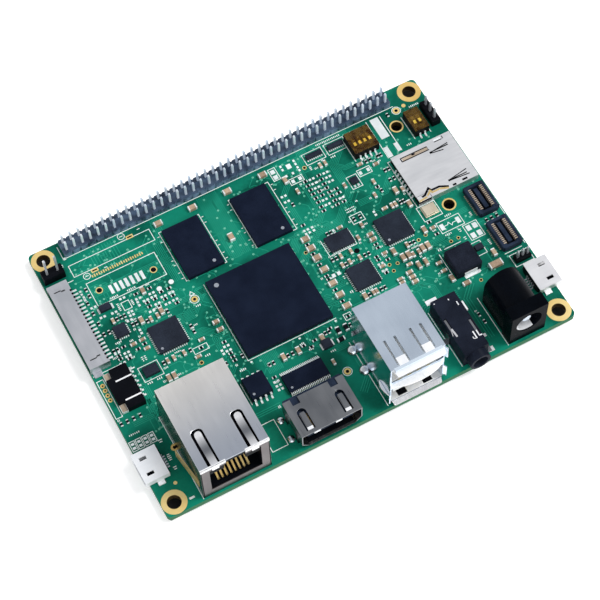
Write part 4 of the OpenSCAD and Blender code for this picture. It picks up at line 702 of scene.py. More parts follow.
def audio_jack_trim():
    jack = extent("audio_jack_body")
    x, roof, bar = jack.x, jack.high.z, 0.03
    blocks(bright, (x - 2.35, 16.4, 3.7, 2.7, 1.2, 0.25), (x + 3.15, 11.7, 4.5, 0.6, 2.4, 0.3))
    for dx, y, width, depth in ((2.1, 12.8, 0.25, 1), (-2.5, 15, 0.25, 0.25), (0.8, 14.5, 0.2, 0.4),
                                (1.45, 4.3, 0.3, 1.9), (2.25, 4.4, 0.25, 1.6), (2.6, 3.7, 0.6, 0.3)):
        bright.slab(x + dx, y, roof, width, depth, bar)
    bright.ribbon([(x + 0.8, 4.1), (x + 0.8, 3.6), (x + 1.4, 3.4)], 0.16, roof, bar)
    springs.ribbon([(x - 2.3, 7.9), (x - 2.1, 5.7)], 0.42, roof - 0.02, bar + 0.02)
    springs.ribbon([(x - 2.5, 7.7), (x - 2.85, 6.2)], 0.16, roof - 0.02, bar + 0.02)


def power_jack_trim():
    pin = extent("power_jack_pin")
    # A near-white sleeve low in the bore: a liner with painted highlight where its inner wall is lit.
    bright.gutter(pin.x, 0.9, pin.z, 3.08, 2.85, 6, -25, 130)


def card_socket_trim():
    roof = extent("card_socket_shell").high.z
    blocks(tan, (89.2, 52.45, 1.2, 6.7, 0.7, 0.5))
    # Black notch, side windows, slits and outlines on the shell: painted shade in its gaps and recesses.
    blocks(dark, (88.85, 52.65, 1.68, 0.8, 0.4, 0.06), (99.15, 51.6, 1, 0.2, 3.4, 0.75),
           (99.15, 43, 1, 0.2, 1.2, 0.75))
    for x, y, width, depth in ((92.64, 51, 0.6, 0.5), (92.64, 42.5, 0.6, 0.5), (93.1, 41, 0.9, 0.5),
                               (95.9, 41.2, 1.3, 0.5), (97, 53.5, 0.2, 0.8)):
        dark.slab(x, y, roof, width, depth, SLIT)
    for start, end in (((92.64, 51.1), (97.3, 51.6)), ((92.64, 50.85), (95.6, 50.4)),
                       ((92.64, 42.6), (97.5, 43.4)), ((92.64, 42.4), (97.6, 42)),
                       ((85.7, 52.95), (92.6, 52.9)), ((85.7, 51.98), (92.7, 51.95)),
                       ((94.7, 53.15), (96.7, 53.15)), ((85.65, 53), (85.65, 51.9))):
        dark.ribbon([start, end], 0.24, roof, SLIT)
    dark.ribbon([(84.9, 41.6), (85.7, 41.7), (87.3, 43), (87.65, 42.2), (89.7, 42.2), (91.7, 41.2)],
                0.5, roof, SLIT)
    for points in ([(83.8, 40.85), (86, 41.1)],
                   [(86.2, 41.3), (87.35, 42.2), (87.6, 41.6), (89.6, 41.6), (91.5, 40.85)]):
        gilt.ribbon(points, 0.45, roof, 0.025)
    cover = [(83.75, 40.65), (87, 40.65), (87, 42.2), (83.75, 42.2)]
    Stock().plate(cover, 0.1, lay(0, 0, 1.7)).piece("card_shell_corner", pale_steel, "shell_bright")
    bright.slab(95.65, 53.5, roof, 1.9, 0.5, 0.05)


# The display connector's ways, one millimetre apart
DISPLAY_ROW = [extent("display_connector_shell").y + i - 9.5 for i in range(20)]


def display_shell_trim():
    """Pressed leaves that fill two of the shell's slots and narrow the other two, and a black notch at
    each way: painted shade.
    """
    shell = extent("display_connector_shell")
    leaves = Stock()
    for s in SIDES:
        for x, dy, width, depth in ((2.3, 7.9, 2.6, 0.7), (2.3, 9.15, 2.6, 0.3), (3.15, 9.3, 0.9, 0.6)):
            blocks(leaves, (x, shell.y + s * dy, 2.7, width, depth, 0.11))
    leaves.piece("display_shell_leaves", rose_steel, "shell_steel")
    for y in DISPLAY_ROW:
        dark.slab(4.7, y - 1, shell.high.z, 0.44, 0.5, SLIT)


def solder_caps():
    """Caps in place of the CAD's domes; those beside the double socket are larger."""
    caps = Stock()
    large, tall, aside = 1.3, 1.1, 0.5
    for cap in lumps("solder_domes"):
        if cap.x > 50:
            caps.dome(cap.x + aside, cap.y, TOP, large, tall)
        else:
            caps.dome(cap.x, cap.y, TOP, cap.size.x / 2, cap.high.z - TOP)
    caps.piece("solder_caps", solder, "solder", ("solder_domes",))


def wire_connector_trim():
    for y in (33.2, 28.2):
        blocks(bright, (5.75, y, 1.8, 3.8, 0.35, 0.04))
    for y in (35.4, 27.15):
        blocks(tan, (2.8, y, 0.79, 1.2, 1.8, 0.07))


def camera_connector_trim():
    rims = Stock()
    for body in lumps("camera_connector_bodies"):
        x, y = body.x, body.y
        for s in SIDES:
            blocks(rims, (x + s * 2.1, y, 1.66, 0.6, 7.7, 0.18), (x + s * 2.45, y, 0.3, 0.14, 7.7, 1.5))
        blocks(rims, (x, y, 0.4, 0.95, 5.4, 1.1))
        # A black floor in each cavity: painted shade.
        blocks(dark, (x, y, 0.42, 2.3, 6.4, 0.03))
    rims.piece("camera_connector_rims", clay, "connector_plastic")


def pressed_inductor():
    coil = extent("power_inductor")
    block = Stock().slab(coil.x, coil.y, TOP, coil.size.x, coil.size.x, coil.size.z, ease=0.3)
    block.piece("pressed_inductor", ferrite, "ferrite", ("power_inductor",))
    blocks(bright, (85, 19.95, 0, 3.2, 0.25, 1.6))


for trim in (network_can, video_socket_trim, double_socket_trim, audio_jack_trim, power_jack_trim,
             card_socket_trim, display_shell_trim, solder_caps, wire_connector_trim,
             camera_connector_trim, pressed_inductor):
    trim()
bright.piece("lips_and_painted_highlights", silver_highlight_steel, "shell_bright")
springs.piece("bent_springs", spring_steel, "shell_bright")
gilt.piece("gilt_springs", gilt_steel, "gold")
tan.piece("tan_tabs", comb_beige, "connector_plastic")
# Black slits, notches, windows and floors in the sockets: painted shade.
dark.piece("slots_painted_shade", black, "black_plastic")


# Chip parts: two ended blocks. Dark ones are resistors, tan ones capacitors

def rows(*lines):
    """Places in rows: each line holds y and then every x."""
    return [(x, y) for y, *along in lines for x in along]


def columns(*lines):
    """Places in columns: each line holds x and then every y."""
    return [(x, y) for x, *along in lines for y in along]


FIELD = (59, 57.7, 56.4, 55.2, 53.9, 52.7, 51.3, 50.1)
DARK_UP = rows(
    (51.5, 6.9), (48.6, 6.9), (45.6, 6.8, 8), (40.8, 6.9, 7.8), (55.9, 8), (54.4, 6.9), (57.7, 8),
    (47.7, 10.95, 11.9, 12.8), (44.8, 13.4, 14.3), (44, 16.6), (44.1, 21.6), (38.2, 24.5), (36.7, 24.5),
    (33, 15.2, 21.7), (21.5, 35.2, 36.2, 39.8, 40.9), (22.4, 49.5, 50.4), (44.3, 61.9, 62.8),
    (37.8, 59.7, 60.7), (35.4, 61.9, 66.7, 67.7), (33.1, 77.1, 78), (43.6, 80.5, 81.3),
    (26.1, 62.7, 65.7, 66.6), (57, 79, 80, 82, 82.8), (52.8, 81.6, 82.5), (50, 81.4, 82.4), (48.5, 78.3),
    (30.1, 95.2, 96.5, 97.9), (24.2, 0.75, 2.2, 3.7, 5.25), (26.3, 31, 27.1), (54.9, 58.8),
    (44.8, 69.1, 70.6), (21.6, 55.3), (65.8, 89.6), (10.2, 81.3), (8.1, 81.5))
DARK_ACROSS = columns(
    (18.6, 48.2, 47.1), (20.5, 48.2, 46.1), (20.6, 51.3), (22.5, 49.2, 47.1), (24.4, 49.2, 47.1, 45),
    (17.3, 51.4), (7.35, 39.3, 38.4), (9.2, 40.8, 37.6), (11.8, 38.8), (13.6, 39.3),
    (29.05, 31.2, 28.1, 27.1, 26.1), (34.65, 18.3), (68.7, 33.8, 32.9, 29.2), (70.6, 32),
    (70.2, 36.7, 35.7), (83.5, 35.9, 32.4), (56.6, 27.6, 30.9, 34, 34.9, 38.2, 41.3, 44.05), (58.2, 49),
    (77.9, 49.8), (24, 32.4), (65.8, 55.2, 53.9), (69.4, 53.9, 52.7, 50.1), (50.9, 23), (46.6, 22),
    (45.25, 20.9), (43.85, 22), (55.9, 23.7), (64.15, *FIELD), (67.65, *FIELD))
DARK_BULK_UP = [(52.3, 21.6), (54.2, 21.5)]
DARK_BULK_ACROSS = [(51.8, 19.4)]
TAN_UP = rows(
    (47.6, 9.95), (44, 17.5), (44.1, 19.2), (33, 16.2, 17.7, 20.2), (15.3, 47.7), (37.8, 61.8, 64.4),
    (35.5, 61, 62.9), (35.4, 65.4), (33.1, 76.2), (26.1, 63.7, 64.5), (40, 67.5), (42.6, 69.8),
    (43.7, 78.3, 79.2), (30.3, 76.2, 77.7), (53.6, 71.5), (48, 76.3), (61.1, 69.2), (61.2, 70.5),
    (57.5, 61.4), (51.3, 77.8), (46.4, 82.6))
TAN_ACROSS = columns(
    (11.4, 40.3), (13.6, 40.4, 38), (25, 34.1), (22.5, 30.7), (65.1, 44.4), (70.7, 33.7), (68.7, 31),
    (74.2, 28.5), (70.5, 26.2, 25.2), (80.1, 25.6, 23.4), (76.5, 43.9), (83.5, 34.2), (80.6, 55.3),
    (77.3, 57))
BULK_UP = rows(
    (44.7, 15.5, 20.4), (51.3, 19), (21.5, 38.7), (21.4, 42.3), (21.6, 48.3), (26.1, 61.6), (33, 72.7),
    (61.4, 60.2), (46.8, 81), (20.8, 80.7), (22, 92.2), (29, 14.6, 15.9), (34.6, 81.5), (42.2, 82))
BULK_ACROSS = [(82.9, 18.2)]

# Length, width and height of each kind, and how far it is turned
RESISTOR, BULK_RESISTOR = (1.05, 0.55, 0.35), (1.8, 0.9, 0.6)
CAPACITOR, BULK_CAPACITOR = (1.5, 0.68, 0.6), (1.9, 0.95, 0.8)
ACROSS, UP = 0, 90


def chip_parts(name, sets, body_finish, body_slot, stands_for=()):
    """Blocks with a plated cap at each end: sets holds places, turn and size."""
    bodies, ends = Stock(), Stock()
    longest_cap, cap_share, narrow, low, lift, ease = 0.3, 0.24, 0.94, 0.96, 0.02, 0.05
    for places, turn, (length, width, height) in sets:
        cap = min(longest_cap, length * cap_share)
        sideways = Matrix.Rotation(radians(turn), 2)
        for x, y in places:
            bodies.slab(x, y, TOP + lift, length - 2 * cap, width * narrow, height * low, turn)
            for s in SIDES:
                off = sideways @ Vector((s * (length - cap) / 2, 0))
                ends.slab(x + off.x, y + off.y, TOP, cap, width, height, turn, ease)
    bodies.piece(name + "_bodies", body_finish, body_slot, stands_for)
    ends.piece(name + "_ends", tin, "solder")


def measured_capacitors():
    """The capacitors that the CAD holds, read back from its solids."""
    sets = []
    for lump in lumps("chip_capacitors"):
        w, d, h = lump.size
        sets.append(([(lump.x, lump.y)], ACROSS if w > d else UP, (max(w, d), min(w, d), h)))
    return sets


chip_parts("resistors", [(DARK_UP, UP, RESISTOR), (DARK_ACROSS, ACROSS, RESISTOR),
                         (DARK_BULK_UP, UP, BULK_RESISTOR), (DARK_BULK_ACROSS, ACROSS, BULK_RESISTOR)],
           carbon, "chip_dark")
chip_parts("small_capacitors", [(TAN_UP, UP, CAPACITOR), (TAN_ACROSS, ACROSS, CAPACITOR),
                                (BULK_UP, UP, BULK_CAPACITOR), (BULK_ACROSS, ACROSS, BULK_CAPACITOR)],
           ceramic, "ceramic")
chip_parts("capacitors", measured_capacitors(), ceramic, "ceramic", ("chip_capacitors",))


# Pads: bare places, and the rows of feet round the flat chips

FREE_FIELD = (59, 57.7, 56.4, 52.7, 51.3)
BARE_ACROSS = columns(
    (17.3, 50.2), (18.6, 49, 45.9), (20.5, 50, 49, 47), (22.5, 48, 45.9), (24.4, 48, 46),
    (7.35, 40.2, 37.4), (9.2, 39.3, 38.4), (13.25, 46.2), (14.2, 52), (7.6, 53), (8.4, 49.8),
    (11.1, 49.6), (29.05, 30.2, 29), (34.65, 17.3, 16.2, 15.2), (68.7, 31.9, 30), (58, 58, 56.4),
    (65.8, *FREE_FIELD), (69.4, *FREE_FIELD))
BARE_UP = rows((47.6, 13.9, 14.7), (42.5, 14.2), (29.2, 27.7), (47.2, 59.8, 58.7, 57.8), (44, 74),
               (49, 16.8), (44.2, 63.6))
# Places of the other pads, by width and depth
PADS = {
    (1.05, 1.1): columns((58.8, 65, 63.4)), (0.8, 0.9): rows((60.5, 61.8, 63.6), (34.3, 58.1, 59.4)),
    (2.1, 6): [(86.2, 63.6)], (1.15, 3): [(84.75, 56.9)], (1.05, 2.4): [(87.4, 57.15)],
    (0.95, 1.6): rows((33.4, 85.5, 89.6)), (1.1, 1.4): rows((30.4, 90.6, 92.2), (28.2, 90.6, 92.2)),
    (0.7, 0.9): rows((55, 76.4, 78.4)), (1.1, 1.3): [(62.8, 64.6)],
    (0.5, 0.6): columns((61.1, 65.4, 64.4, 62.5), (64.5, 65.4, 64.4, 63.4, 62.5), (62.8, 62.5),
                        (73.6, 52.5), (74.5, 52.5)),
    (0.4, 1.4): [(8.2, 51.5), (11.5, 51.4)], (0.35, 1.6): rows((19.9, 47.2, 49.9)),
    (0.7, 0.6): rows((18.9, 0.8, 2.3, 3.8, 5.3), (17.9, 0.8, 2.3, 3.8, 5.3)),
    (4, 0.7): [(85.45, 19.8)], (3, 0.5): [(85.5, 26.9)], (0.6, 2.7): [(79.5, 13.65)],
    (1.4, 1.2): [(79.3, 1.7)], (0.8, 0.8): [(79.8, 5.3)],
    (0.5, 0.5): columns((6.7, 58, 57.2), (6.8, 56.4, 55.5)),
    (0.75, 2.3): rows((55.2, 13.1, 14.4, 15.65, 16.9, 18.2, 19.5, 20.75))}
FOOT_PITCH = 0.5


def foot_rows(pads, chip):
    """A row of short feet along each side of a flat chip."""
    out, width, tucked = 0.45, 0.27, 0.05
    for side, other, turn in ((chip.size.x, chip.size.y, 0), (chip.size.y, chip.size.x, 90)):
        count = int((side - 1) / FOOT_PITCH)
        for i in range(count + 1):
            along = (i - count / 2) * FOOT_PITCH
            for s in SIDES:
                away = s * (other / 2 + out / 2 - tucked)
                dx, dy = (along, away) if turn == 0 else (away, along)
                pads.slab(chip.x + dx, chip.y + dy, TOP, width, out, FOOT, turn)


def tinned_pads():
    pads = Stock()
    apart, square = 0.45, 0.55
    four_sided, two_sided = 2.8, 3.8
    for places, dx, dy in ((BARE_ACROSS, apart, 0), (BARE_UP, 0, apart)):
        for x, y in places:
            for s in SIDES:
                pads.slab(x + s * dx, y + s * dy, TOP, square, square, PAD)
    for size, places in PADS.items():
        for x, y in places:
            pads.slab(x, y, TOP, *size, PAD)
    for x, y in ((22.5, 50.2), (25.6, 50.5)):
        pads.disc(x, y, TOP, 0.6, PAD)
    for node in ("network_chip", "sound_chip"):
        foot_rows(pads, extent(node))
    for chip in lumps("small_chips"):
        if min(chip.size.xy) > four_sided:
            foot_rows(pads, chip)
        elif chip.size.x > two_sided:
            for i in range(8):
                for s in SIDES:
                    pads.slab(chip.x + (i - 3.5) * FOOT_PITCH, chip.y + s * 0.7, TOP, 0.3, 0.5, FOOT)
    for y in DISPLAY_ROW:
        pads.slab(5.8, y, TOP, 0.75, 0.45, 0.06)
    for body in lumps("camera_connector_bodies"):
        for dx in (-2.5, 2.6):
            for i in range(12):
                pads.slab(body.x + dx, body.y + (i - 5.5) * FOOT_PITCH, TOP, 0.5, 0.28, FOOT)
    pads.piece("tinned_pads", tin, "solder")


tinned_pads()


# Gold: test rings, slotted pads, sleeves in the plated holes

# Places of the rings, by outer and inner radius
RINGS = {
    (0.75, 0.36): [(28.2, 44)], (0.8, 0.4): [(49.3, 12)], (0.85, 0.4): [(92, 66), (8.4, 14)],
    (0.6, 0.4): [(56.5, 11.9)], (0.5, 0.34): [(22.5, 29.2), (65.8, 62.5)], (0.45, 0.3): [(79.2, 33.1)],
    (0.42, 0.3): [(55.4, 42.5), (70.3, 30.7), (70.4, 28.9), (72.1, 30.2), (81.2, 33.5), (85.4, 29.3),
                  (87.3, 29.3), (86.2, 17.5)],
    (0.85, 0.62): [(10.6, 56.3), (23.5, 55.2)], (0.52, 0.2): columns((1.1, 34.5, 33.2, 31.9, 30.6))}
GOLD_DOTS = [(94.2, 66.4, 0.5), (4.9, 6.6, 0.42)]
SLOTTED = [(22.5, 65.5), (11.9, 61.5)]


def gold_work():
    rings, sleeves = Stock(), Stock()
    teeth, comb_x, comb_y, comb_pitch = 23, 10.8, 60.3, 0.56
    for radii, places in RINGS.items():
        for x, y in places:
            rings.ring(x, y, TOP, *radii, GILDING)
    for x, y, r in GOLD_DOTS:
        rings.disc(x, y, TOP, r, GILDING)
    for x, y in SLOTTED:
        rings.slab(x, y, TOP, 1.7, 0.95, GILDING)
    for i in range(teeth):
        rings.slab(comb_x + i * comb_pitch, comb_y, TOP, 0.3, 0.8 if i % 2 else 0.6, GILDING)
    for plating in lumps("plated_rings"):
        if plating.high.z > TOP / 2:
            x, y, rim = plating.x, plating.y, plating.size.x / 2
            corner_hole = rim > 2
            hole = 1.6 if corner_hole else 1.3
            sleeves.ring(x, y, 0, hole, hole - 0.05, TOP, 40)
            if corner_hole:
                rings.ring(x, y, TOP, rim + 0.12, rim - 0.1, GILDING, 40)
    rings.piece("gold_pads", gold, "gold")
    sleeves.piece("hole_sleeves", shaded_gold, "gold")


def dark_holes():
    # Black discs in the small holes and the slotted pads: painted shade where one looks into them.
    holes = Stock()
    for (_, inner), places in RINGS.items():
        for x, y in places:
            holes.disc(x, y, TOP, inner, 0.025)
    holes.disc(65.7, 37.4, TOP, 0.65, 0.02, 20)
    for x, y in SLOTTED:
        holes.slab(x, y, TOP + GILDING, 1.2, 0.35, 0.005)
    holes.piece("holes_painted_shade", black, "black_plastic")


gold_work()
dark_holes()


# Printed marks: boxes, lines and short plain bars

# Two corners of each box
BOXES = [
    (28.7, 49, 38.8, 63.2), (46.4, 49, 56.6, 63.2), (7.1, 62, 27.2, 65.2), (8.7, 52.7, 25.6, 59.2),
    (13.4, 48.9, 15.2, 51), (9.6, 30.8, 14.2, 34.6), (22.2, 31.6, 25.6, 33.1), (26.2, 2.9, 29.9, 9.6),
    (0.3, 25.9, 1.8, 35.9), (68.4, 43.7, 71.4, 46), (66.7, 62.7, 71.6, 65.8), (72.4, 62.7, 77.5, 65.8),
    (58, 62.6, 59.7, 66), (61, 59.7, 64.3, 61.3), (72.8, 51.9, 75.3, 55.4), (75.8, 54.1, 79, 55.9),
    (82.8, 36.5, 87.4, 40.5), (84.7, 31.9, 90.5, 34.9), (89.6, 27.2, 93.1, 31.5), (88.7, 23, 91.1, 26.5),
    (94.8, 16.5, 99.4, 19.7), (55.1, 23, 56.8, 24.6)]
BOXES += [(x, 17.2, x + 1.2, 19.6) for x in (0.2, 1.7, 3.2, 4.7)]
LINES = [
    [(6.9, 71), (6.9, 67.4), (91.9, 67.4)], [(31.6, 46.3), (31.6, 24.7), (53.4, 24.7)],
    [(27.5, 14.8), (27.5, 20.5)], [(8.55, 0.4), (8.55, 22)], [(53, 0.6), (53, 18)],
    [(71.7, 1), (71.7, 16)], [(83.1, 0.6), (83.1, 14)],
    [(59.7, 43.6), (59.7, 39), (66.6, 39), (66.6, 43.6)],
    [(81.3, 20), (81.3, 27.6)], [(83.5, 19.4), (87.2, 19.4)], [(83, 28.2), (87.3, 28.2)],
    [(94.2, 29.5), (98.6, 29.5)], [(94.2, 20.6), (98.6, 20.6)], [(99.7, 21), (99.7, 39)],
    [(86, 33.4), (86.9, 33.4), (87.3, 33.9), (87.8, 32.9), (88.2, 33.4), (89.1, 33.4)],
    [(27.6, 45.2), (28.2, 46.2), (28.8, 45.2), (27.6, 45.2)], [(6.6, 61.4), (0.2, 61.4)],
    [(6.6, 37.4), (0.2, 37.4)], [(77, 58.2), (77, 65)], [(84.2, 66.6), (84, 55.4)],
    [(87.8, 66.6), (87.8, 55.8)], [(92, 57), (92, 63.8)], [(96.2, 57), (96.2, 63.8)],
    [(83.2, 40.4), (83.2, 54.4), (99, 54.4)]]
# Middle, width and depth of each bar
BARS = [
    (12.8, 53.2, 2, 0.5), (17, 53.2, 2.2, 0.5), (8.7, 42.4, 1.6, 0.5), (7.9, 35.6, 1.6, 0.5),
    (10.5, 30.2, 1.4, 0.5), (12.8, 30.2, 1.4, 0.5), (19.1, 34.1, 1.6, 0.4), (24.5, 30.2, 1.4, 0.5),
    (29.6, 23.3, 1.6, 0.6), (43.8, 22.6, 1.2, 0.6), (45, 20.6, 1.2, 0.5), (49, 17.9, 1.4, 0.5),
    (59.9, 32.8, 0.4, 1), (59.6, 28.8, 0.9, 0.7), (67, 61.7, 0.5, 1.2), (73, 62, 1.4, 0.5),
    (88.2, 35.6, 1.8, 0.5), (85.8, 31.2, 1.8, 0.5), (82, 28.6, 0.9, 0.7), (88.6, 28.5, 0.6, 1),
    (88.6, 30.8, 0.6, 1), (28.2, 42.2, 1.3, 0.5), (74, 66.6, 6.4, 0.5), (12.6, 50.3, 0.5, 2.2),
    (15.8, 50, 0.5, 1.6), (11.6, 36.2, 0.4, 1.4), (12.3, 36.2, 0.4, 1.4), (6.4, 16.8, 0.9, 1),
    (6.4, 12.5, 0.8, 1.8), (6.4, 9.7, 0.8, 1), (26, 12.2, 0.9, 0.6), (32.4, 11.6, 0.7, 0.7),
    (47.6, 11, 0.7, 1.3), (69.6, 47.2, 2.4, 0.4), (69.6, 47.9, 2.4, 0.3), (97.9, 22.1, 0.4, 0.7),
    (92.9, 33.4, 0.5, 1.2), (92.9, 25, 0.5, 1.6), (96.3, 65.4, 2.6, 0.5), (90, 56.4, 1.4, 0.5),
    (2.2, 21, 2.6, 0.4), (71.9, 48.9, 0.6, 0.4), (1, 68.2, 0.5, 1.4), (5.9, 65.9, 0.5, 0.9)]
FINE_LINE, LINE, TICK_STEP, TICK = 0.16, 0.17, 0.42, 0.22
SOLID_BARS = [(6.5, 1.9, 1.2, 0.5), (7.2, 67.4, 0.6, 0.6), (8, 35.3, 2.4, 0.3),
              (25.1, 66.4, 0.7, FINE_LINE), (14.4, 61, 0.7, FINE_LINE), (20.8, 66.5, 0.85, FINE_LINE),
              (9.7, 60.9, 0.85, FINE_LINE)]
SOLID_BARS += [(x, 24.1, 0.5, 0.4) for x in (32.1, 44, 53)]
SOLID_BARS += [(x, y, 0.5, FINE_LINE) for x in (28.2, 39.3, 45.9, 57.1)
               for y in (50, 51.6, 53.8, 55.1, 60.6, 62.2)]
CIRCLES = [(49.3, 12, 1.1), (28.2, 44, 1.1), (92, 66, 1.1), (20.8, 66.5, 0.87), (9.7, 60.9, 0.87)]


def printing():
    marks = Stock()
    for x0, y0, x1, y1 in BOXES:
        marks.ribbon([(x0, y0), (x1, y0), (x1, y1), (x0, y1)], FINE_LINE, TOP, closed=True)
    for points in LINES:
        marks.ribbon(points, LINE, TOP)
    for x, y, w, d in BARS:
        # Each bar is a run of short ticks
        steps = max(2, round(max(w, d) / TICK_STEP))
        for i in range(steps):
            off = (i - (steps - 1) / 2) * max(w, d) / steps
            tall = min(w, d) * (1 if i % 3 else 0.75)
            if w >= d:
                marks.slab(x + off, y, TOP, TICK, tall, INK)
            else:
                marks.slab(x, y + off, TOP, tall, TICK, INK)
    for x, y, r in CIRCLES:
        marks.ring(x, y, TOP, r, r - 0.15, INK)
    for x, y, w, d in SOLID_BARS:
        marks.slab(x, y, TOP, w, d, INK)
    # Ticks beside some of the chip parts
    dice = random.Random(11)
    for x, y in DARK_UP + DARK_ACROSS + TAN_UP + TAN_ACROSS + BULK_UP:
        if dice.random() < 0.45:
            dx, dy = dice.choice(((0, 1.15), (0, -1.15), (1.05, 0), (-1.05, 0)))
            for i in range(dice.choice((2, 3))):
                marks.slab(x + dx + (i - 1) * 0.32, y + dy, TOP, FINE_LINE, dice.choice((0.4, 0.5)), INK)
    marks.piece("printed_marks", ink, "board")


def first_pin_dots():
    """A dot near one corner of each chip: which corner, how far in, and its radius."""
    dots = Stock()
    for node, right, back, in_x, in_y, r in (
            ("processor", -1, 1, 1.9, 1.9, 0.55), ("memory_chip_left", 1, -1, 1.9, 1.4, 0.4),
            ("memory_chip_right", 1, -1, 1.9, 1.4, 0.4), ("network_chip", -1, -1, 0.9, 0.9, 0.32),
            ("sound_chip", -1, -1, 0.9, 0.9, 0.32), ("display_driver", -1, -1, 0.9, 0.9, 0.28),
            ("storage_chip", -1, -1, 0.9, 0.9, 0.3)):
        chip = extent(node)
        dots.disc(chip.x + right * (chip.size.x / 2 - in_x), chip.y + back * (chip.size.y / 2 - in_y),
                  chip.high.z - 0.02, r, 0.03, 20)
    dots.piece("first_pin_dots", dot_ink, "chip_grey")


printing()
first_pin_dots()


# Tracks under the lacquer, on both faces, and the small plated holes that join them

# The run of each bundle, how many tracks it has and how far apart they are
BUNDLES = [
    ([(22.8, 41), (26, 41), (30, 45), (32, 45)], 8, 0.34),
    ([(22.8, 36), (26.4, 36), (28.4, 34), (32, 34)], 6, 0.34),
    ([(8.5, 44), (12, 48), (16, 48), (19, 45), (31, 45)], 4, 0.36),
    ([(8.3, 56), (27, 56), (31.5, 51.5)], 6, 0.36),
    ([(53, 44), (56, 47), (60, 47), (64, 51), (64, 63), (67, 66), (67, 68)], 7, 0.36),
    ([(53, 40), (60, 46), (66, 46), (72, 52), (72, 60), (78, 66), (78, 68)], 6, 0.36),
    ([(56, 32), (60, 32)], 6, 0.4), ([(67, 32), (72, 36)], 6, 0.36), ([(80, 40), (84, 44)], 4, 0.36),
    ([(53, 30), (58, 25), (72, 25), (76, 21), (76, 17)], 4, 0.38), ([(36, 24.6), (36, 19.5)], 10, 0.36),
    ([(46, 24.6), (46, 22), (50, 18), (58, 18)], 5, 0.36), ([(40, 12.8), (40, 9)], 14, 0.4),
    ([(25, 22), (28, 25), (28, 33), (32, 37)], 5, 0.4),
    ([(93, 35), (88, 35), (84, 31), (72, 31)], 4, 0.36),
    ([(93.5, 25), (91, 25), (87, 29.5), (82, 29.5), (78, 33.5)], 4, 0.36),
    ([(29, 66.8), (29, 63), (27, 61), (27, 50)], 5, 0.4), ([(42.5, 67), (42.5, 49)], 12, 0.42),
    ([(60, 66.6), (60, 60), (58, 58), (58, 50)], 4, 0.4), ([(83, 52), (79, 48), (72, 48)], 5, 0.36),
    ([(80, 58), (74, 58), (70, 62), (70, 67)], 4, 0.36), ([(9, 31), (9, 26), (14, 21.8)], 5, 0.4),
    ([(16, 60), (16, 66.8)], 9, 0.7), ([(33, 12), (25, 12)], 3, 0.5),
    ([(50, 6), (53, 9), (53, 14)], 4, 0.5),
    ([(69, 4), (69, 14), (72, 17), (80, 17)], 5, 0.5), ([(81, 4), (81, 15), (84, 18)], 3, 0.6),
    ([(3, 23), (8, 23), (8, 27)], 4, 0.4)]
LOOSE_RUNS = 420


def tracks():
    dice = random.Random(7)
    upper, lower, eyes = Stock(), Stock(), Stock()
    width, keep_off, loose_width, loose_keep_off = 0.15, 2.2, 0.14, 2.4
    eye, drill = 0.26, 0.1
    holes = [Vector((plating.x, plating.y)) for plating in lumps("plated_rings")]

    def clear(points, reach):
        """Whether a run keeps away from the plated holes."""
        steps = [Vector(a).lerp(Vector(b), i / 8) for a, b in zip(points, points[1:]) for i in range(9)]
        return all((step - hole).length > reach for step in steps for hole in holes)

    for points, count, pitch in BUNDLES:
        flipped = [(x, DEPTH - y) for x, y in points]
        for i in range(count):
            shift = (i - (count - 1) / 2) * pitch
            for stock, run, z in ((upper, points, TOP), (lower, flipped, -FILM)):
                if clear(run, keep_off + abs(shift)):
                    stock.ribbon(run, width, z, FILM, shift=shift)
    for _ in range(LOOSE_RUNS):
        x, y = dice.uniform(6, 95), dice.uniform(18, 66)
        run, slope = dice.uniform(1, 4), dice.choice((-1, 1))
        step = dice.uniform(0.6, 2.4)
        points = [(x, y), (x + run, y), (x + run + step, y + slope * step)]
        if dice.random() < 0.5:
            points = [(x + (v - y), y + (u - x)) for u, v in points]
        points = [(min(max(u, 1), 99), min(max(v, 2), 66)) for u, v in points]
        if not clear(points, loose_keep_off):
            continue
        upper.ribbon(points, loose_width, TOP, FILM)
        for u, v in (points[0], points[-1]):
            for z in (TOP, -EYE):
                eyes.ring(u, v, z, eye, drill, EYE, 8)
    upper.piece("tracks_upper", traced, "board")
    lower.piece("tracks_lower", traced, "board")
    eyes.piece("joining_holes", eye_mask, "board")


def solder_joints():
    """A small cone of solder round every tail under the board."""
    cones = Stock()
    tall = 0.62
    for node in ("expansion_header_pins", "small_header_pins", "ethernet_contacts", "ethernet_shield",
                 "ethernet_transformer", "hdmi_shell", "usb_shell", "usb_contacts",
                 "power_jack_terminals"):
        for tail in lumps(node, below=-0.2):
            reach = max(tail.size.xy) / 2
            cones.disc(tail.x, tail.y, -PAD, reach + 0.42, PAD, 14)
            cones.disc(tail.x, tail.y, -tall, reach * 0.85 + 0.02, tall - PAD, 14, top=reach + 0.3)
    cones.piece("solder_joints", solder, "solder")


tracks()
solder_joints()


# Stage, light and camera

def linked(name, data):
    made = bpy.data.objects.new(name, data)
    bpy.context.scene.collection.objects.link(made)
    return made


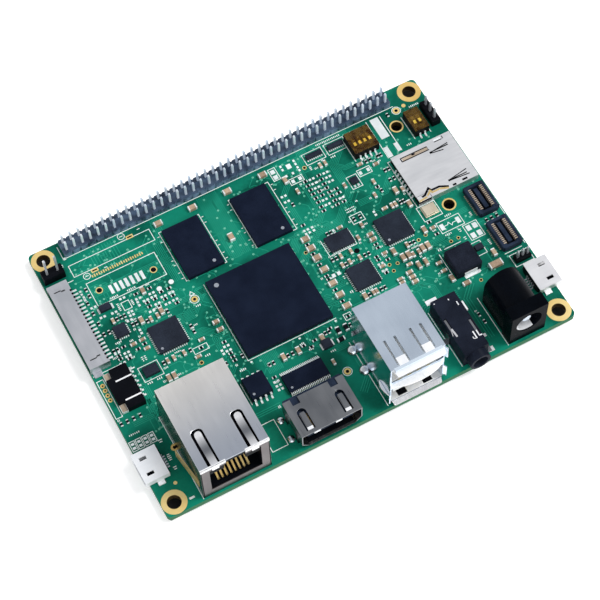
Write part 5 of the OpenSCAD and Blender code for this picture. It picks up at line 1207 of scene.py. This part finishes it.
def stage():
    """A pale floor with painted shade where the board covers it; the painted shade stops short of the
    board's edges.
    """
    floor = Finish("pale_floor", Roughness=0.9)
    pale = floor.mix(floor.noise(6), tone(246, 246, 246), tone(250, 250, 250))
    away = floor.node("ShaderNodeVectorMath", {"operation": "ABSOLUTE"}, {0: floor.place()})
    limits = ((FAR_CORNER.x, 0.9, 0.3), (FAR_CORNER.y, 0.7, 0.2))
    aside, ahead = (floor.part(away, axis).ramp((edge - start) * MM, (edge - end) * MM)
                    for axis, (edge, start, end) in enumerate(limits))
    open_floor = aside.sum("MAXIMUM", aside, ahead)
    seen = floor.ray("Camera", "Glossy", "Transmission") * open_floor
    # Under the board the floor is near black and gives off no glow: painted shade.
    floor.set(Base_Color=floor.mix(open_floor, tone(14, 14, 16), pale), Emission_Strength=0.4,
              Emission_Color=floor.mix(seen, tone(0, 0, 0), pale))
    bm = bmesh.new()
    bmesh.ops.create_grid(bm, x_segments=1, y_segments=1, size=3.0)
    mesh = bpy.data.meshes.new("floor")
    bm.to_mesh(mesh)
    bm.free()
    mesh.transform(Matrix.Translation((0, 0, cad_box[0].z)))
    mesh.materials.append(floor.material)
    linked("floor", mesh)


def sky():
    """White all round, grey overhead, as under a dull ceiling."""
    world = bpy.data.worlds.new("studio")
    world.use_nodes = True
    bpy.context.scene.world = world
    dome = Work(world.node_tree)
    rise = dome.part(dome.node("ShaderNodeTexCoord", output="Generated"), 2).ramp(0.35, 0.85)
    light = dome.mix(rise, (0.62, 0.62, 0.63, 1), (0.5, 0.5, 0.52, 1))
    mirrored = dome.mix(rise, (1, 1, 1, 1), (0.62, 0.63, 0.66, 1))
    seen = dome.mix(dome.ray("Glossy"), light, mirrored)
    dome.feed(dome.tree.nodes["Background"].inputs["Color"],
              dome.mix(dome.ray("Camera", "Transmission"), seen, (1, 1, 1, 1)))


def lamp(name, azimuth, elevation, strength, spread):
    light = bpy.data.lights.new(name, "SUN")
    light.energy = strength
    light.angle = radians(spread)
    aim = Matrix.Rotation(radians(azimuth), 4, "Z") @ Matrix.Rotation(radians(90 - elevation), 4, "X")
    linked(name, light).matrix_world = aim


def camera():
    """The photo's camera: its place in millimetres, and where it looks."""
    place = Vector((-87.166, -183.409, 369.409))
    ahead = Vector((0.20499, 0.43008, -0.87921)).normalized()
    right = Vector((0.88138, -0.47174, -0.02526)).normalized()
    lens = bpy.data.cameras.new("camera")
    lens.sensor_fit = "HORIZONTAL"
    lens.sensor_width = 36
    lens.lens = 113.34
    lens.clip_start = 0.01
    lens.clip_end = 20
    made = linked("camera", lens)
    turn = Matrix((right, right.cross(ahead), -ahead)).transposed().to_4x4()
    made.matrix_world = Matrix.Translation(place * MM) @ turn
    bpy.context.scene.camera = made


stage()
sky()
lamp("key_light", 72, 55, 2.0, 25)
lamp("fill_light", -10, 30, 0.7, 45)
camera()
bpy.context.scene.view_settings.view_transform = "Standard"
